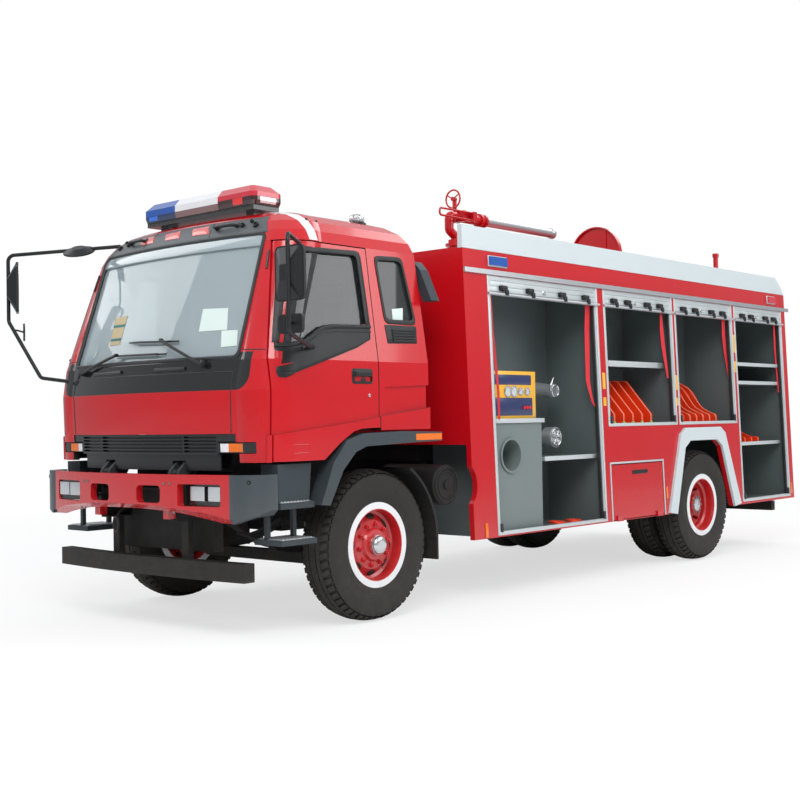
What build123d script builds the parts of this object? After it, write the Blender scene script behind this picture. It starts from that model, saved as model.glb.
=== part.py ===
# Fire truck: a two-axle cab-over chassis with a pump and locker body.
# Millimetres. X points to the truck's left, Y to its rear, Z up.
# The origin is on the ground, under the middle of the truck.
import os
from math import cos, radians, sin

from build123d import *

os.makedirs("parts", exist_ok=True)

# Driving dimensions of the whole truck
NOSE = -3970
TAIL = 3970
FRONT_AXLE = -2670
REAR_AXLE = FRONT_AXLE + 4550
TYRE_R = 527
TYRE_W = 278
BEAD_R = 262
FRONT_WHEEL_X = 1030
REAR_OUTER_X = 1096
TWIN_SPACING = 312
INNER_WHEEL_X = REAR_OUTER_X - TWIN_SPACING
MIRROR_REACH = 1560

# Frame rails
RAIL_OUT = 425
RAIL_TOP = 990
RAIL_DEPTH = 250
RAIL_WEB = 10
RAIL_FLANGE = 78
RAIL_FRONT = -3840
RAIL_REAR = 3760

# Cab
CAB_BACK = -2165
CAB_WALL = 55
SILL_Z = 1132
BAND_Z = 1596
WINDSCREEN_FOOT = 1795
DRIP_Z = 2592
DOOR_FRONT = -3655
DOOR_REAR = -2690
DOOR_GAP = 8
DOOR_TOP_FRONT = -3440
PILLAR_X = 928
GRILLE_TOP = 1318
FLOOR_Z = 1322
FLOOR_TOP = 1362
TUNNEL_TOP = 1510
TILT_Y = -3800
TILT_Z = 1050

# Locker body: its sides lean in by the body's slope
BODY_FRONT = -1704
BODY_REAR = 3902
BODY_BOTTOM = 482
BODY_HALF = 1245
BODY_SLOPE = 0.0346
SIDE_WALL = 45
RAIL_LINE = 2501
BOARD_FOOT = 2683
BOARD_TOP = 2860
BAY_FOOT = 497
HIGH_BAY_FOOT = 1308
BAYS = [(-1412, 132, BAY_FOOT), (231, 1425, HIGH_BAY_FOOT), (1470, 2640, HIGH_BAY_FOOT), (2690, 3800, 510)]
BAY_BACK = 640
LINING = 20
DROP_DOOR = (231, 1110, 488, 975)

# Roof fittings
DECK_TOP = 2700
MONITOR_Y = -330
FLANGE_TOP = 2965
TIP_Y = -200
TIP_Z = 3212
LID_Y = 1990
LID_R = 300
LID_HINGE_Z = 2740
LID_REACH = LID_R + 20
NECK_R = 262
NECK_BORE = 236
NECK_TOP = DECK_TOP + 18


def write(builder, name):
    """Label one finished piece and write it out."""
    builder.part.label = name
    export_step(builder.part, f"parts/{name}.step")


def write_pair(builder, name):
    """Write a left-hand piece and its mirror image for the right-hand side."""
    write(builder, f"{name}_left")
    with BuildPart() as other:
        mirror(builder.part, about=Plane.YZ)
    write(other, f"{name}_right")


def block(x0, x1, y0, y1, z0, z1, mode=Mode.ADD):
    """A box between two corners, in the piece that is being made."""
    with Locations(((x0 + x1) / 2, (y0 + y1) / 2, (z0 + z1) / 2)):
        Box(x1 - x0, y1 - y0, z1 - z0, mode=mode)


def rod_x(x0, x1, y, z, radius, mode=Mode.ADD):
    """A round bar across the truck."""
    with Locations(Location(((x0 + x1) / 2, y, z), (0, 90, 0))):
        Cylinder(radius, x1 - x0, mode=mode)


def rod_y(x, y0, y1, z, radius, mode=Mode.ADD):
    """A round bar along the truck."""
    with Locations(Location((x, (y0 + y1) / 2, z), (90, 0, 0))):
        Cylinder(radius, y1 - y0, mode=mode)


def rod_z(x, y, z0, z1, radius, mode=Mode.ADD):
    """An upright round bar."""
    with Locations((x, y, (z0 + z1) / 2)):
        Cylinder(radius, z1 - z0, mode=mode)


def prism_x(points, x0, x1, mode=Mode.ADD):
    """An outline of (y, z) points, extruded across the truck."""
    with BuildSketch(Plane.YZ.offset(x0)) as outline:
        with BuildLine():
            Polyline(*points, close=True)
        make_face()
    extrude(outline.sketch, amount=x1 - x0, mode=mode)


def prism_y(points, y0, y1, mode=Mode.ADD):
    """An outline of (x, z) points, extruded along the truck."""
    with BuildSketch(Plane(origin=(0, y0, 0), x_dir=(1, 0, 0), z_dir=(0, -1, 0))) as outline:
        with BuildLine():
            Polyline(*points, close=True)
        make_face()
    extrude(outline.sketch, amount=-(y1 - y0), mode=mode)


def slab(place, width, height, corner, depth, back=1.0):
    """A rounded slab on a plane; its back outline may be smaller than its front."""
    with BuildSketch(place) as front:
        RectangleRounded(width, height, corner)
    with BuildSketch(place.offset(depth)) as rear:
        RectangleRounded(width * back, height * back, corner * back)
    loft([front.sketch.faces()[0], rear.sketch.faces()[0]], ruled=True)


def bent_rod(points, radius, bend):
    """A round rod or tube along a bent path."""
    with BuildLine() as path:
        FilletPolyline(*points, radius=bend)
    with BuildSketch(Plane(origin=path.line @ 0, z_dir=path.line % 0)) as section:
        Circle(radius)
    sweep(section.sketch, path=path.line)


def wheel_plane(x, y):
    """A plane through a wheel's axis: its first axis runs out along the axle, its second is the radius."""
    return Plane(origin=(x, y, TYRE_R), x_dir=(1, 0, 0), z_dir=(0, -1, 0))


def body_half(z):
    """Half of the locker body's width at a height."""
    return BODY_HALF - BODY_SLOPE * (z - BODY_BOTTOM)


# Wheels


def add_tyre(x, y):
    """A tyre with flat bead seats, bulged walls and a crowned tread."""
    half = TYRE_W / 2
    with BuildSketch(wheel_plane(x, y)) as profile:
        with BuildLine():
            Line((-108, BEAD_R), (-108, 300))
            ThreePointArc((-108, 300), (-half, 398), (-114, 506))
            ThreePointArc((-114, 506), (0, TYRE_R), (114, 506))
            ThreePointArc((114, 506), (half, 398), (108, 300))
            Line((108, 300), (108, BEAD_R))
            Line((108, BEAD_R), (-108, BEAD_R))
        make_face()
    revolve(profile.sketch, axis=Axis((x, y, TYRE_R), (1, 0, 0)))


def add_rim(x, y, disc, hub_bore):
    """A steel rim: barrel with two lips, and the pressed disc whose outline is given."""
    seat = BEAD_R - 0.5
    with BuildSketch(wheel_plane(x, y)) as barrel:
        with BuildLine():
            Polyline((-119, 296), (-109, 296), (-109, seat), (109, seat), (109, 296), (119, 296),
                     (119, 244), (96, 238), (40, 236), (28, 214), (-96, 214), (-119, 244), close=True)
        make_face()
    revolve(barrel.sketch, axis=Axis((x, y, TYRE_R), (1, 0, 0)))
    with BuildSketch(wheel_plane(x, y)) as pressing:
        with BuildLine():
            Polyline(*disc, close=True)
        make_face()
    revolve(pressing.sketch, axis=Axis((x, y, TYRE_R), (1, 0, 0)))
    rod_x(x - 200, x + 200, y, TYRE_R, hub_bore, mode=Mode.SUBTRACT)


STUB_R = 42
STUB_FIT = 0.3
FRONT_DISC = [(10, 222), (24, 222), (66, 170), (74, 118), (96, 104), (96, 72), (128, 68), (138, 52),
              (138, 40), (-70, 40), (-70, 82), (40, 88), (56, 112), (50, 160)]
REAR_DISC = [(-8, 222), (6, 222), (-60, 176), (-74, 112), (-60, 96), (52, 88), (60, 70), (60, 40),
             (-120, 40), (-120, 96), (-92, 112), (-76, 180)]

with BuildPart() as front_tyre:
    add_tyre(FRONT_WHEEL_X, FRONT_AXLE)
write_pair(front_tyre, "front_tyre")

with BuildPart() as front_rim:
    add_rim(FRONT_WHEEL_X, FRONT_AXLE, FRONT_DISC, STUB_R + STUB_FIT)
    with Locations(Location((FRONT_WHEEL_X + 60, FRONT_AXLE, TYRE_R), (0, 90, 0))):
        with PolarLocations(196, 8):
            Cylinder(22, 90, mode=Mode.SUBTRACT)
write_pair(front_rim, "front_rim")

with BuildPart() as rear_tyres:
    add_tyre(REAR_OUTER_X, REAR_AXLE)
    add_tyre(INNER_WHEEL_X, REAR_AXLE)
write_pair(rear_tyres, "rear_tyres")

with BuildPart() as rear_rims:
    add_rim(REAR_OUTER_X, REAR_AXLE, REAR_DISC, STUB_R + STUB_FIT)
    inner_disc = [(-x, r) for x, r in REAR_DISC]
    add_rim(INNER_WHEEL_X, REAR_AXLE, inner_disc, STUB_R + STUB_FIT)
    with BuildSketch(wheel_plane(0, REAR_AXLE)):
        with BuildLine():
            Polyline((INNER_WHEEL_X + 90, 60), (REAR_OUTER_X - 90, 60), (REAR_OUTER_X - 90, 110),
                     (INNER_WHEEL_X + 90, 110), close=True)
        make_face()
    revolve(axis=Axis((0, REAR_AXLE, TYRE_R), (1, 0, 0)))
    with Locations(Location((REAR_OUTER_X - 40, REAR_AXLE, TYRE_R), (0, 90, 0))):
        with PolarLocations(198, 8):
            Cylinder(20, 60, mode=Mode.SUBTRACT)
write_pair(rear_rims, "rear_rims")

# Steering knuckles: a stub axle, the kingpin boss and the steering arm
KINGPIN_X = 868
KINGPIN_R = 22
EYE_R = 40
with BuildPart() as knuckle:
    block(KINGPIN_X - 34, KINGPIN_X + 66, FRONT_AXLE - 38, FRONT_AXLE + 38, TYRE_R - 112, TYRE_R + 112)
    block(KINGPIN_X - 40, KINGPIN_X + 44, FRONT_AXLE - 60, FRONT_AXLE + 60, TYRE_R - 60, TYRE_R + 60,
          mode=Mode.SUBTRACT)
    rod_x(KINGPIN_X + 50, FRONT_WHEEL_X - 80, FRONT_AXLE, TYRE_R, 58)
    rod_x(KINGPIN_X + 50, FRONT_WHEEL_X + 128, FRONT_AXLE, TYRE_R, STUB_R)
    block(KINGPIN_X - 30, KINGPIN_X + 30, FRONT_AXLE + 30, FRONT_AXLE + 190, TYRE_R - 104, TYRE_R - 76)
    rod_z(KINGPIN_X, FRONT_AXLE, TYRE_R - 130, TYRE_R + 130, KINGPIN_R + STUB_FIT, mode=Mode.SUBTRACT)
write_pair(knuckle, "knuckle")

# Front axle: a dropped beam with an eye and kingpin at each end
with BuildPart() as front_axle:
    prism_y([(-790, TYRE_R + 50), (-700, TYRE_R - 20), (-560, TYRE_R - 90), (560, TYRE_R - 90),
             (700, TYRE_R - 20), (790, TYRE_R + 50), (840, TYRE_R + 50), (840, TYRE_R - 50),
             (780, TYRE_R - 50), (640, TYRE_R - 170), (-640, TYRE_R - 170), (-780, TYRE_R - 50),
             (-840, TYRE_R - 50), (-840, TYRE_R + 50)], FRONT_AXLE - 45, FRONT_AXLE + 45)
    for side in (-1, 1):
        rod_z(side * KINGPIN_X, FRONT_AXLE, TYRE_R - 56, TYRE_R + 56, EYE_R)
        rod_z(side * KINGPIN_X, FRONT_AXLE, TYRE_R - 110, TYRE_R + 110, KINGPIN_R)
write(front_axle, "front_axle")

SHAFT_R = 52
GEARBOX_REAR = -1560
# Rear axle: tapered tubes, the differential and the shaft from the gearbox
with BuildPart() as rear_axle:
    rod_x(-590, 590, REAR_AXLE, TYRE_R, 68)
    for side in (-1, 1):
        rod_x(min(side * 560, side * (REAR_OUTER_X + 56)), max(side * 560, side * (REAR_OUTER_X + 56)),
              REAR_AXLE, TYRE_R, STUB_R)
    with Locations((0, REAR_AXLE, TYRE_R)):
        Sphere(215)
    rod_y(0, REAR_AXLE - 330, REAR_AXLE, TYRE_R + 10, 95)
    rod_y(0, REAR_AXLE - 370, REAR_AXLE - 330, TYRE_R + 10, 70)
    start = Vector(0, GEARBOX_REAR, 760)
    end = Vector(0, REAR_AXLE - 340, TYRE_R + 10)
    run = end - start
    with BuildSketch(Plane(origin=start, z_dir=run)):
        Circle(SHAFT_R)
    extrude(amount=run.length)
    rod_y(0, GEARBOX_REAR - 40, GEARBOX_REAR + 50, 760, 68)
write(rear_axle, "rear_axle")

# Engine and gearbox: one plain block between the rails
with BuildPart() as engine_block:
    block(-325, 325, -3280, -2330, 690, 1400)
    block(-200, 200, -2330, GEARBOX_REAR - 40.5, 620, 930)
write(engine_block, "engine_block")

# Leaf springs: stacked leaves in a shallow bow, with their U-bolt plates
SPRING_X = 385


def add_spring(x, y, half_length, low, leaves, leaf, width):
    """One leaf spring: leaves that shorten downward, the longest with its ends up under the rail."""
    rise = RAIL_TOP - RAIL_DEPTH - 16 - (low + leaves * leaf)
    for i in range(leaves):
        reach = half_length * (1 - 0.8 * i / leaves)
        lift = rise * (reach / half_length) ** 2
        top = low + (leaves - i) * leaf
        with BuildSketch(Plane.YZ.offset(x - width / 2)) as sheet:
            with BuildLine():
                ThreePointArc((y - reach, top + lift), (y, top), (y + reach, top + lift))
                Line((y + reach, top + lift), (y + reach, top + lift - leaf))
                ThreePointArc((y + reach, top + lift - leaf), (y, top - leaf), (y - reach, top + lift - leaf))
                Line((y - reach, top + lift - leaf), (y - reach, top + lift))
            make_face()
        extrude(sheet.sketch, amount=width)
    for end in (-1, 1):
        block(x - width / 2, x + width / 2, y + end * (half_length - 30) - 30, y + end * (half_length - 30) + 30,
              RAIL_TOP - RAIL_DEPTH - 42, RAIL_TOP - RAIL_DEPTH - 0.5)


with BuildPart() as leaf_springs:
    for side in (-1, 1):
        add_spring(side * SPRING_X, FRONT_AXLE, 720, TYRE_R - 89, 4, 16, 76)
        add_spring(side * (SPRING_X + 20), REAR_AXLE, 700, TYRE_R + 69, 5, 14, 76)
write(leaf_springs, "leaf_springs")

# Frame: two channel rails, cross members, radiator, cab pivot brackets and the rear underrun bar
RADIATOR_FOOT = 525
with BuildPart() as frame_rails:
    for side in (-1, 1):
        inner = side * (RAIL_OUT - RAIL_FLANGE)
        outer = side * RAIL_OUT
        lo, hi = min(inner, outer), max(inner, outer)
        block(lo, hi, RAIL_FRONT, RAIL_REAR, RAIL_TOP - RAIL_DEPTH, RAIL_TOP)
        web = side * (RAIL_OUT - RAIL_WEB)
        lo, hi = min(inner, web), max(inner, web)
        block(lo, hi, RAIL_FRONT, RAIL_REAR, RAIL_TOP - RAIL_DEPTH + RAIL_WEB, RAIL_TOP - RAIL_WEB,
              mode=Mode.SUBTRACT)
    for y in (RAIL_FRONT + 60, -1250, 350, 2900, RAIL_REAR - 60):
        block(-RAIL_OUT + RAIL_WEB, RAIL_OUT - RAIL_WEB, y - 40, y + 40, RAIL_TOP - 150, RAIL_TOP - 40)
    block(-560, 560, -3640, -3560, RADIATOR_FOOT, RAIL_TOP - RAIL_DEPTH + RAIL_WEB - 4)
    block(-RAIL_OUT + RAIL_FLANGE, RAIL_OUT - RAIL_FLANGE, -3640, -3560, RADIATOR_FOOT, RAIL_TOP + 20)
    for side in (-1, 1):
        block(side * 385 - 22, side * 385 + 22, TILT_Y - 30, TILT_Y + 90, RAIL_TOP - 30, TILT_Z)
        rod_x(side * 385 - 22, side * 385 + 22, TILT_Y, TILT_Z, 36)
        rod_x(side * 385 - 22, side * 385 + 22, TILT_Y, TILT_Z, 20.3, mode=Mode.SUBTRACT)
    block(-1080, 1080, 3690, 3770, 350, 450)
    for side in (-1, 1):
        block(side * 385 - 30, side * 385 + 30, 3640, 3700, 380, RAIL_TOP - RAIL_DEPTH + 20)
write(frame_rails, "frame_rails")

# Front underrun bar: bowed, on two struts
BAR_TOP = 490
BAR_FOOT = 368
BAR_BOW = 60
with BuildPart() as underrun_bar:
    with BuildSketch(Plane.XY.offset(BAR_FOOT)):
        with BuildLine():
            ThreePointArc((-1015, -3780), (0, -3780 - BAR_BOW), (1015, -3780))
            Line((1015, -3780), (1015, -3690))
            ThreePointArc((1015, -3690), (0, -3690 - BAR_BOW), (-1015, -3690))
            Line((-1015, -3690), (-1015, -3780))
        make_face()
    extrude(amount=BAR_TOP - BAR_FOOT)
    for side in (-1, 1):
        block(side * 385 - 35, side * 385 + 35, -3745, -3700, BAR_TOP - 40, RAIL_TOP - RAIL_DEPTH - 0.5)
write(underrun_bar, "underrun_bar")

# Front bumper: a bowed beam with two cooling slots, lamp recesses and wrapped ends
BUMPER_TOP = 1058
BUMPER_FOOT = 748
BUMPER_END_X = 1190
LAMP_X0 = 546
LAMP_X1 = 905
LAMP_Z0 = 854
LAMP_Z1 = 997
SLOT_X0 = 155
SLOT_X1 = 390
with BuildPart() as front_bumper:
    with BuildSketch(Plane.XY.offset(BUMPER_FOOT)):
        with BuildLine():
            ThreePointArc((-970, -3856), (0, NOSE), (970, -3856))
            ThreePointArc((970, -3856), (1130, -3800), (BUMPER_END_X, -3640))
            Line((BUMPER_END_X, -3640), (BUMPER_END_X - 45, -3640))
            ThreePointArc((BUMPER_END_X - 45, -3640), (1095, -3770), (950, -3810))
            ThreePointArc((950, -3810), (0, -3918), (-950, -3810))
            ThreePointArc((-950, -3810), (-1095, -3770), (-BUMPER_END_X + 45, -3640))
            Line((-BUMPER_END_X + 45, -3640), (-BUMPER_END_X, -3640))
            ThreePointArc((-BUMPER_END_X, -3640), (-1130, -3800), (-970, -3856))
        make_face()
    extrude(amount=BUMPER_TOP - BUMPER_FOOT)
    with BuildSketch(Plane(origin=(0, NOSE - 20, 0), x_dir=(1, 0, 0), z_dir=(0, -1, 0))):
        for side in (-1, 1):
            with Locations((side * (SLOT_X0 + SLOT_X1) / 2, 926)):
                RectangleRounded(SLOT_X1 - SLOT_X0, 116, 30)
            with Locations((side * (LAMP_X0 + LAMP_X1) / 2, (LAMP_Z0 + LAMP_Z1) / 2)):
                RectangleRounded(LAMP_X1 - LAMP_X0, LAMP_Z1 - LAMP_Z0, 18)
    extrude(amount=-260, mode=Mode.SUBTRACT)
    for side in (-1, 1):
        prism_y([(side * 1010, BUMPER_FOOT - 1), (side * (BUMPER_END_X + 5), BUMPER_FOOT - 1),
                 (side * (BUMPER_END_X + 5), BUMPER_FOOT + 92), (side * 1150, BUMPER_FOOT + 50)],
                NOSE - 10, -3600, mode=Mode.SUBTRACT)
    prism_x([(NOSE - 10, BUMPER_FOOT - 1), (-3826, BUMPER_FOOT - 1), (-3890, BUMPER_FOOT + 60),
             (NOSE - 1, BUMPER_FOOT + 110), (NOSE - 10, BUMPER_FOOT + 110)], -1000, 1000, mode=Mode.SUBTRACT)
    for side in (-1, 1):
        block(side * 385 - 30, side * 385 + 30, -3900, RAIL_FRONT - 0.5, 760, 860)
write(front_bumper, "front_bumper")

# Headlamps: a dark housing in the bumper's recess, with two rectangular lenses a side
LENSES = [(607, 760, -3876), (772, 902, -3866)]
HOUSING_Y = -3856
with BuildPart() as headlamps:
    with BuildSketch(Plane(origin=(0, HOUSING_Y, 0), x_dir=(1, 0, 0), z_dir=(0, -1, 0))):
        with Locations(((LAMP_X0 + LAMP_X1) / 2, (LAMP_Z0 + LAMP_Z1) / 2)):
            RectangleRounded(LAMP_X1 - LAMP_X0 - 2, LAMP_Z1 - LAMP_Z0 - 2, 17)
    extrude(amount=-78)
    for x0, x1, face in LENSES:
        slab(Plane(origin=((x0 + x1) / 2, HOUSING_Y, 934), x_dir=(1, 0, 0), z_dir=(0, -1, 0)),
             x1 - x0, 96, 12, HOUSING_Y - face, back=0.96)
    mirror(about=Plane.YZ)
write(headlamps, "headlamps")

# Entry steps and the front wheels' rear mudguards with their flaps
STEP_HIGH = 872
STEP_LOW = 632
with BuildPart() as entry_steps:
    prism_x([(-3620, 1118), (-3325, 1118), (-3350, STEP_HIGH - 40), (-3620, STEP_HIGH - 40)], 1010, 1170)
    block(900, 1200, -3628, -3330, STEP_HIGH - 40, STEP_HIGH)
    block(930, 1190, -3612, -3300, STEP_LOW - 36, STEP_LOW)
    for y in (-3600, -3370):
        block(1010, 1040, y, y + 30, STEP_LOW - 20, STEP_HIGH)
    block(RAIL_OUT + 0.5, 1010, -3600, -3560, STEP_HIGH - 60, STEP_HIGH - 10)
    mirror(about=Plane.YZ)
write(entry_steps, "entry_steps")

GUARD_R = 596
with BuildPart() as mudguards:
    with BuildSketch(Plane.YZ.offset(880)):
        with BuildLine():
            CenterArc((FRONT_AXLE, TYRE_R), GUARD_R, 0, 58)
            high = (FRONT_AXLE + GUARD_R * cos(radians(58)), TYRE_R + GUARD_R * sin(radians(58)))
            high_out = (FRONT_AXLE + (GUARD_R + 22) * cos(radians(58)), TYRE_R + (GUARD_R + 22) * sin(radians(58)))
            Line(high, high_out)
            CenterArc((FRONT_AXLE, TYRE_R), GUARD_R + 22, 0, 58)
            Line((FRONT_AXLE + GUARD_R, TYRE_R), (FRONT_AXLE + GUARD_R + 22, TYRE_R))
        make_face()
    extrude(amount=300)
    block(880, 1180, FRONT_AXLE + GUARD_R + 4, FRONT_AXLE + GUARD_R + 22, 372, TYRE_R + 40)
    block(RAIL_OUT + 0.5, 890, FRONT_AXLE + GUARD_R + 2, FRONT_AXLE + GUARD_R + 42, 800, 840)
    mirror(about=Plane.YZ)
write(mudguards, "mudguards")

# Tanks on the rails: an air drum across the frame on the left, the fuel tank on the right
AIR_Y = -1890
AIR_Z = 903
with BuildPart() as side_tanks:
    rod_x(560, 1130, AIR_Y, AIR_Z, 152)
    fillet(edges().filter_by(GeomType.CIRCLE), 18)
    block(RAIL_OUT + 0.5, 600, AIR_Y - 50, AIR_Y + 50, AIR_Z - 60, AIR_Z + 60)
    with Locations((-800, -1868, 720)):
        Box(500, 260, 460)
    block(-560, -RAIL_OUT - 0.5, -1940, -1800, 760, 900)
write(side_tanks, "side_tanks")

# Locker body


def side_sheet(depth, mode=Mode.ADD):
    """Grow the pending outline from the body's leaning side, inward by a depth."""
    extrude(amount=-depth, mode=mode)


SIDE_PLANE = Plane(origin=(BODY_HALF, 0, BODY_BOTTOM), x_dir=(0, 1, 0), z_dir=(1, 0, BODY_SLOPE))


def rect_on_side(y0, y1, z0, z1, mode=Mode.ADD):
    """A rectangle on the body's left side, between two lengthways and two height values."""
    with Locations(((y0 + y1) / 2, (z0 + z1) / 2 - BODY_BOTTOM)):
        Rectangle(y1 - y0, z1 - z0, mode=mode)


ARCH_MID = 1890
ARCH_INNER = [(-581, 477), (-372, 1085), (-268, 1150), (268, 1150), (372, 1085), (581, 477)]
ARCH_OUTER = [(-716, 497), (-444, 1215), (-350, 1273), (350, 1273), (444, 1215), (716, 497)]

with BuildPart() as body_side:
    with BuildSketch(SIDE_PLANE):
        rect_on_side(BODY_FRONT, BODY_REAR, BODY_BOTTOM, BOARD_FOOT)
        for y0, y1, foot in BAYS:
            rect_on_side(y0, y1, foot, RAIL_LINE, mode=Mode.SUBTRACT)
        rect_on_side(*DROP_DOOR, mode=Mode.SUBTRACT)
        with BuildLine():
            Polyline(*[(ARCH_MID + y, z - BODY_BOTTOM - (10 if z < 480 else 0)) for y, z in ARCH_INNER], close=True)
        make_face(mode=Mode.SUBTRACT)
        with BuildLine():
            ThreePointArc((BODY_FRONT, 1030 - BODY_BOTTOM), (BODY_FRONT + 58, 885 - BODY_BOTTOM),
                          (BODY_FRONT, 755 - BODY_BOTTOM))
            Line((BODY_FRONT, 755 - BODY_BOTTOM), (BODY_FRONT, 1030 - BODY_BOTTOM))
        make_face(mode=Mode.SUBTRACT)
    side_sheet(SIDE_WALL)
write_pair(body_side, "body_side")

with BuildPart() as arch_trims:
    with BuildSketch(SIDE_PLANE.offset(0.5)):
        with BuildLine():
            Polyline(*[(ARCH_MID + y, z - BODY_BOTTOM) for y, z in ARCH_OUTER + ARCH_INNER[::-1]], close=True)
        make_face()
    extrude(amount=24)
    mirror(about=Plane.YZ)
write(arch_trims, "arch_trims")

FRONT_WALL_FOOT = 1195
with BuildPart() as body_ends:
    for y0, y1, foot in ((BODY_FRONT, BODY_FRONT + 40, FRONT_WALL_FOOT), (BODY_REAR - 40, BODY_REAR, BODY_BOTTOM)):
        low = body_half(foot) - SIDE_WALL - 1
        high = body_half(BOARD_FOOT) - SIDE_WALL - 1
        prism_y([(-low, foot + 1), (low, foot + 1), (high, BOARD_FOOT), (-high, BOARD_FOOT)], y0, y1)
write(body_ends, "body_ends")

# Locker linings: open boxes of sheet metal behind each bay, with their shelves


def lining_block(y0, y1, z0, z1):
    """The outside of a lining, from the bay's back to the side wall, which leans."""
    low = body_half(z0) - SIDE_WALL - 1
    high = body_half(z1) - SIDE_WALL - 1
    prism_y([(BAY_BACK - LINING, z0), (low, z0), (high, z1), (BAY_BACK - LINING, z1)], y0, y1)


def bay_space(y0, y1, z0, z1):
    """The clear space of a bay."""
    block(BAY_BACK, 1400, y0, y1, z0, z1, mode=Mode.SUBTRACT)


BAY_TOP = RAIL_LINE + 100
CABINET_REAR = -687
CABINET_TOP = 1385
PUMP_SHELF = 1070
LOW_SHELF = 1105
with BuildPart() as pump_bay:
    y0, y1, foot = BAYS[0]
    lining_block(y0 - LINING, y1 + LINING, foot - LINING, BAY_TOP)
    bay_space(y0, y1, foot, BAY_TOP - LINING)
    block(BAY_BACK, 1150, CABINET_REAR + 0.5, y1, PUMP_SHELF - 34, PUMP_SHELF)
    mirror(about=Plane.YZ)
write(pump_bay, "pump_bay")

with BuildPart() as middle_bays:
    y0, y1, foot = BAYS[1]
    y2, y3, foot = BAYS[2]
    lining_block(y0 - LINING, y3 + LINING, foot - LINING, BAY_TOP)
    bay_space(y0, y1, foot, BAY_TOP - LINING)
    bay_space(y2, y3, foot, BAY_TOP - LINING)
    block(BAY_BACK, 1080, y0, y1, 1848, 1884)
    y0, y1, z0, z1 = DROP_DOOR
    lining_block(y0 - LINING, y1 + LINING, z0 - 4, z1 + LINING)
    bay_space(y0, y1, z0 + 12, z1)
    mirror(about=Plane.YZ)
write(middle_bays, "middle_bays")

with BuildPart() as rear_bay:
    y0, y1, foot = BAYS[3]
    lining_block(y0 - LINING, y1 + LINING, foot - LINING, BAY_TOP)
    bay_space(y0, y1, foot, BAY_TOP - LINING)
    for top in (LOW_SHELF, 1735, 1925):
        block(BAY_BACK, 1140, y0, y1, top - 30, top)
    mirror(about=Plane.YZ)
write(rear_bay, "rear_bay")

# Rolled-up shutters with their lift bars
with BuildPart() as roller_shutters:
    for y0, y1, foot in BAYS:
        with BuildSketch(SIDE_PLANE.offset(-14)):
            rect_on_side(y0 + 4, y1 - 4, 2371, RAIL_LINE - 2)
        extrude(amount=-16)
        with BuildSketch(SIDE_PLANE.offset(-8)):
            rect_on_side(y0 + 4, y1 - 4, 2349, 2371)
        extrude(amount=-26)
        rod_y(1050, y0 + 4, y1 - 4, 2512, 60)
    mirror(about=Plane.YZ)
write(roller_shutters, "roller_shutters")

# Hose racks: rows of upright dividers, some with a slanted front edge and some with an S-shaped one
RACK_FRONT = 1140
RACK_REAR = 680
RACK_THICK = 26


def rack_plane(y):
    """A plane across the truck, on which a divider is drawn in x and z."""
    return Plane(origin=(0, y, 0), x_dir=(1, 0, 0), z_dir=(0, -1, 0))


def slanted_rack(y, foot):
    """A divider whose front edge slants back above a short upright nose."""
    with BuildSketch(rack_plane(y)) as plate:
        with BuildLine():
            Polyline((RACK_REAR, foot), (RACK_FRONT, foot), (RACK_FRONT, foot + 100), (880, foot + 412),
                     (RACK_REAR, foot + 412), close=True)
        make_face()
        fillet(plate.vertices().group_by(Axis.Z)[-1].sort_by(Axis.X)[-1], 40)
    extrude(plate.sketch, amount=-RACK_THICK)


def curved_rack(y, foot, size):
    """A divider whose front edge runs in an S from a low nose up to the back."""
    with BuildSketch(rack_plane(y)) as plate:
        with BuildLine():
            nose = (RACK_FRONT, foot + 62 * size)
            knee = (RACK_FRONT - 40, foot + 100 * size)
            middle = (RACK_FRONT - 220, foot + 250 * size)
            crest = (RACK_FRONT - 400, foot + 412 * size)
            Line((RACK_REAR, foot), (RACK_FRONT, foot))
            Line((RACK_FRONT, foot), nose)
            ThreePointArc(nose, (RACK_FRONT - 10, foot + 89 * size), knee)
            ThreePointArc(knee, (RACK_FRONT - 150, foot + 158 * size), middle)
            ThreePointArc(middle, (RACK_FRONT - 292, foot + 348 * size), crest)
            Line(crest, (RACK_REAR, foot + 418 * size))
            Line((RACK_REAR, foot + 418 * size), (RACK_REAR, foot))
        make_face()
    extrude(plate.sketch, amount=-RACK_THICK)


with BuildPart() as hose_racks:
    for i in range(5):
        slanted_rack(438 + 158 * i, HIGH_BAY_FOOT + 0.5)
    for i in range(6):
        curved_rack(1675 + 132 * i, HIGH_BAY_FOOT + 0.5, 1)
    for i in range(3):
        curved_rack(2960 + 150 * i, LOW_SHELF + 0.5, 0.5)
    mirror(about=Plane.YZ)
write(hose_racks, "hose_racks")

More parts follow.
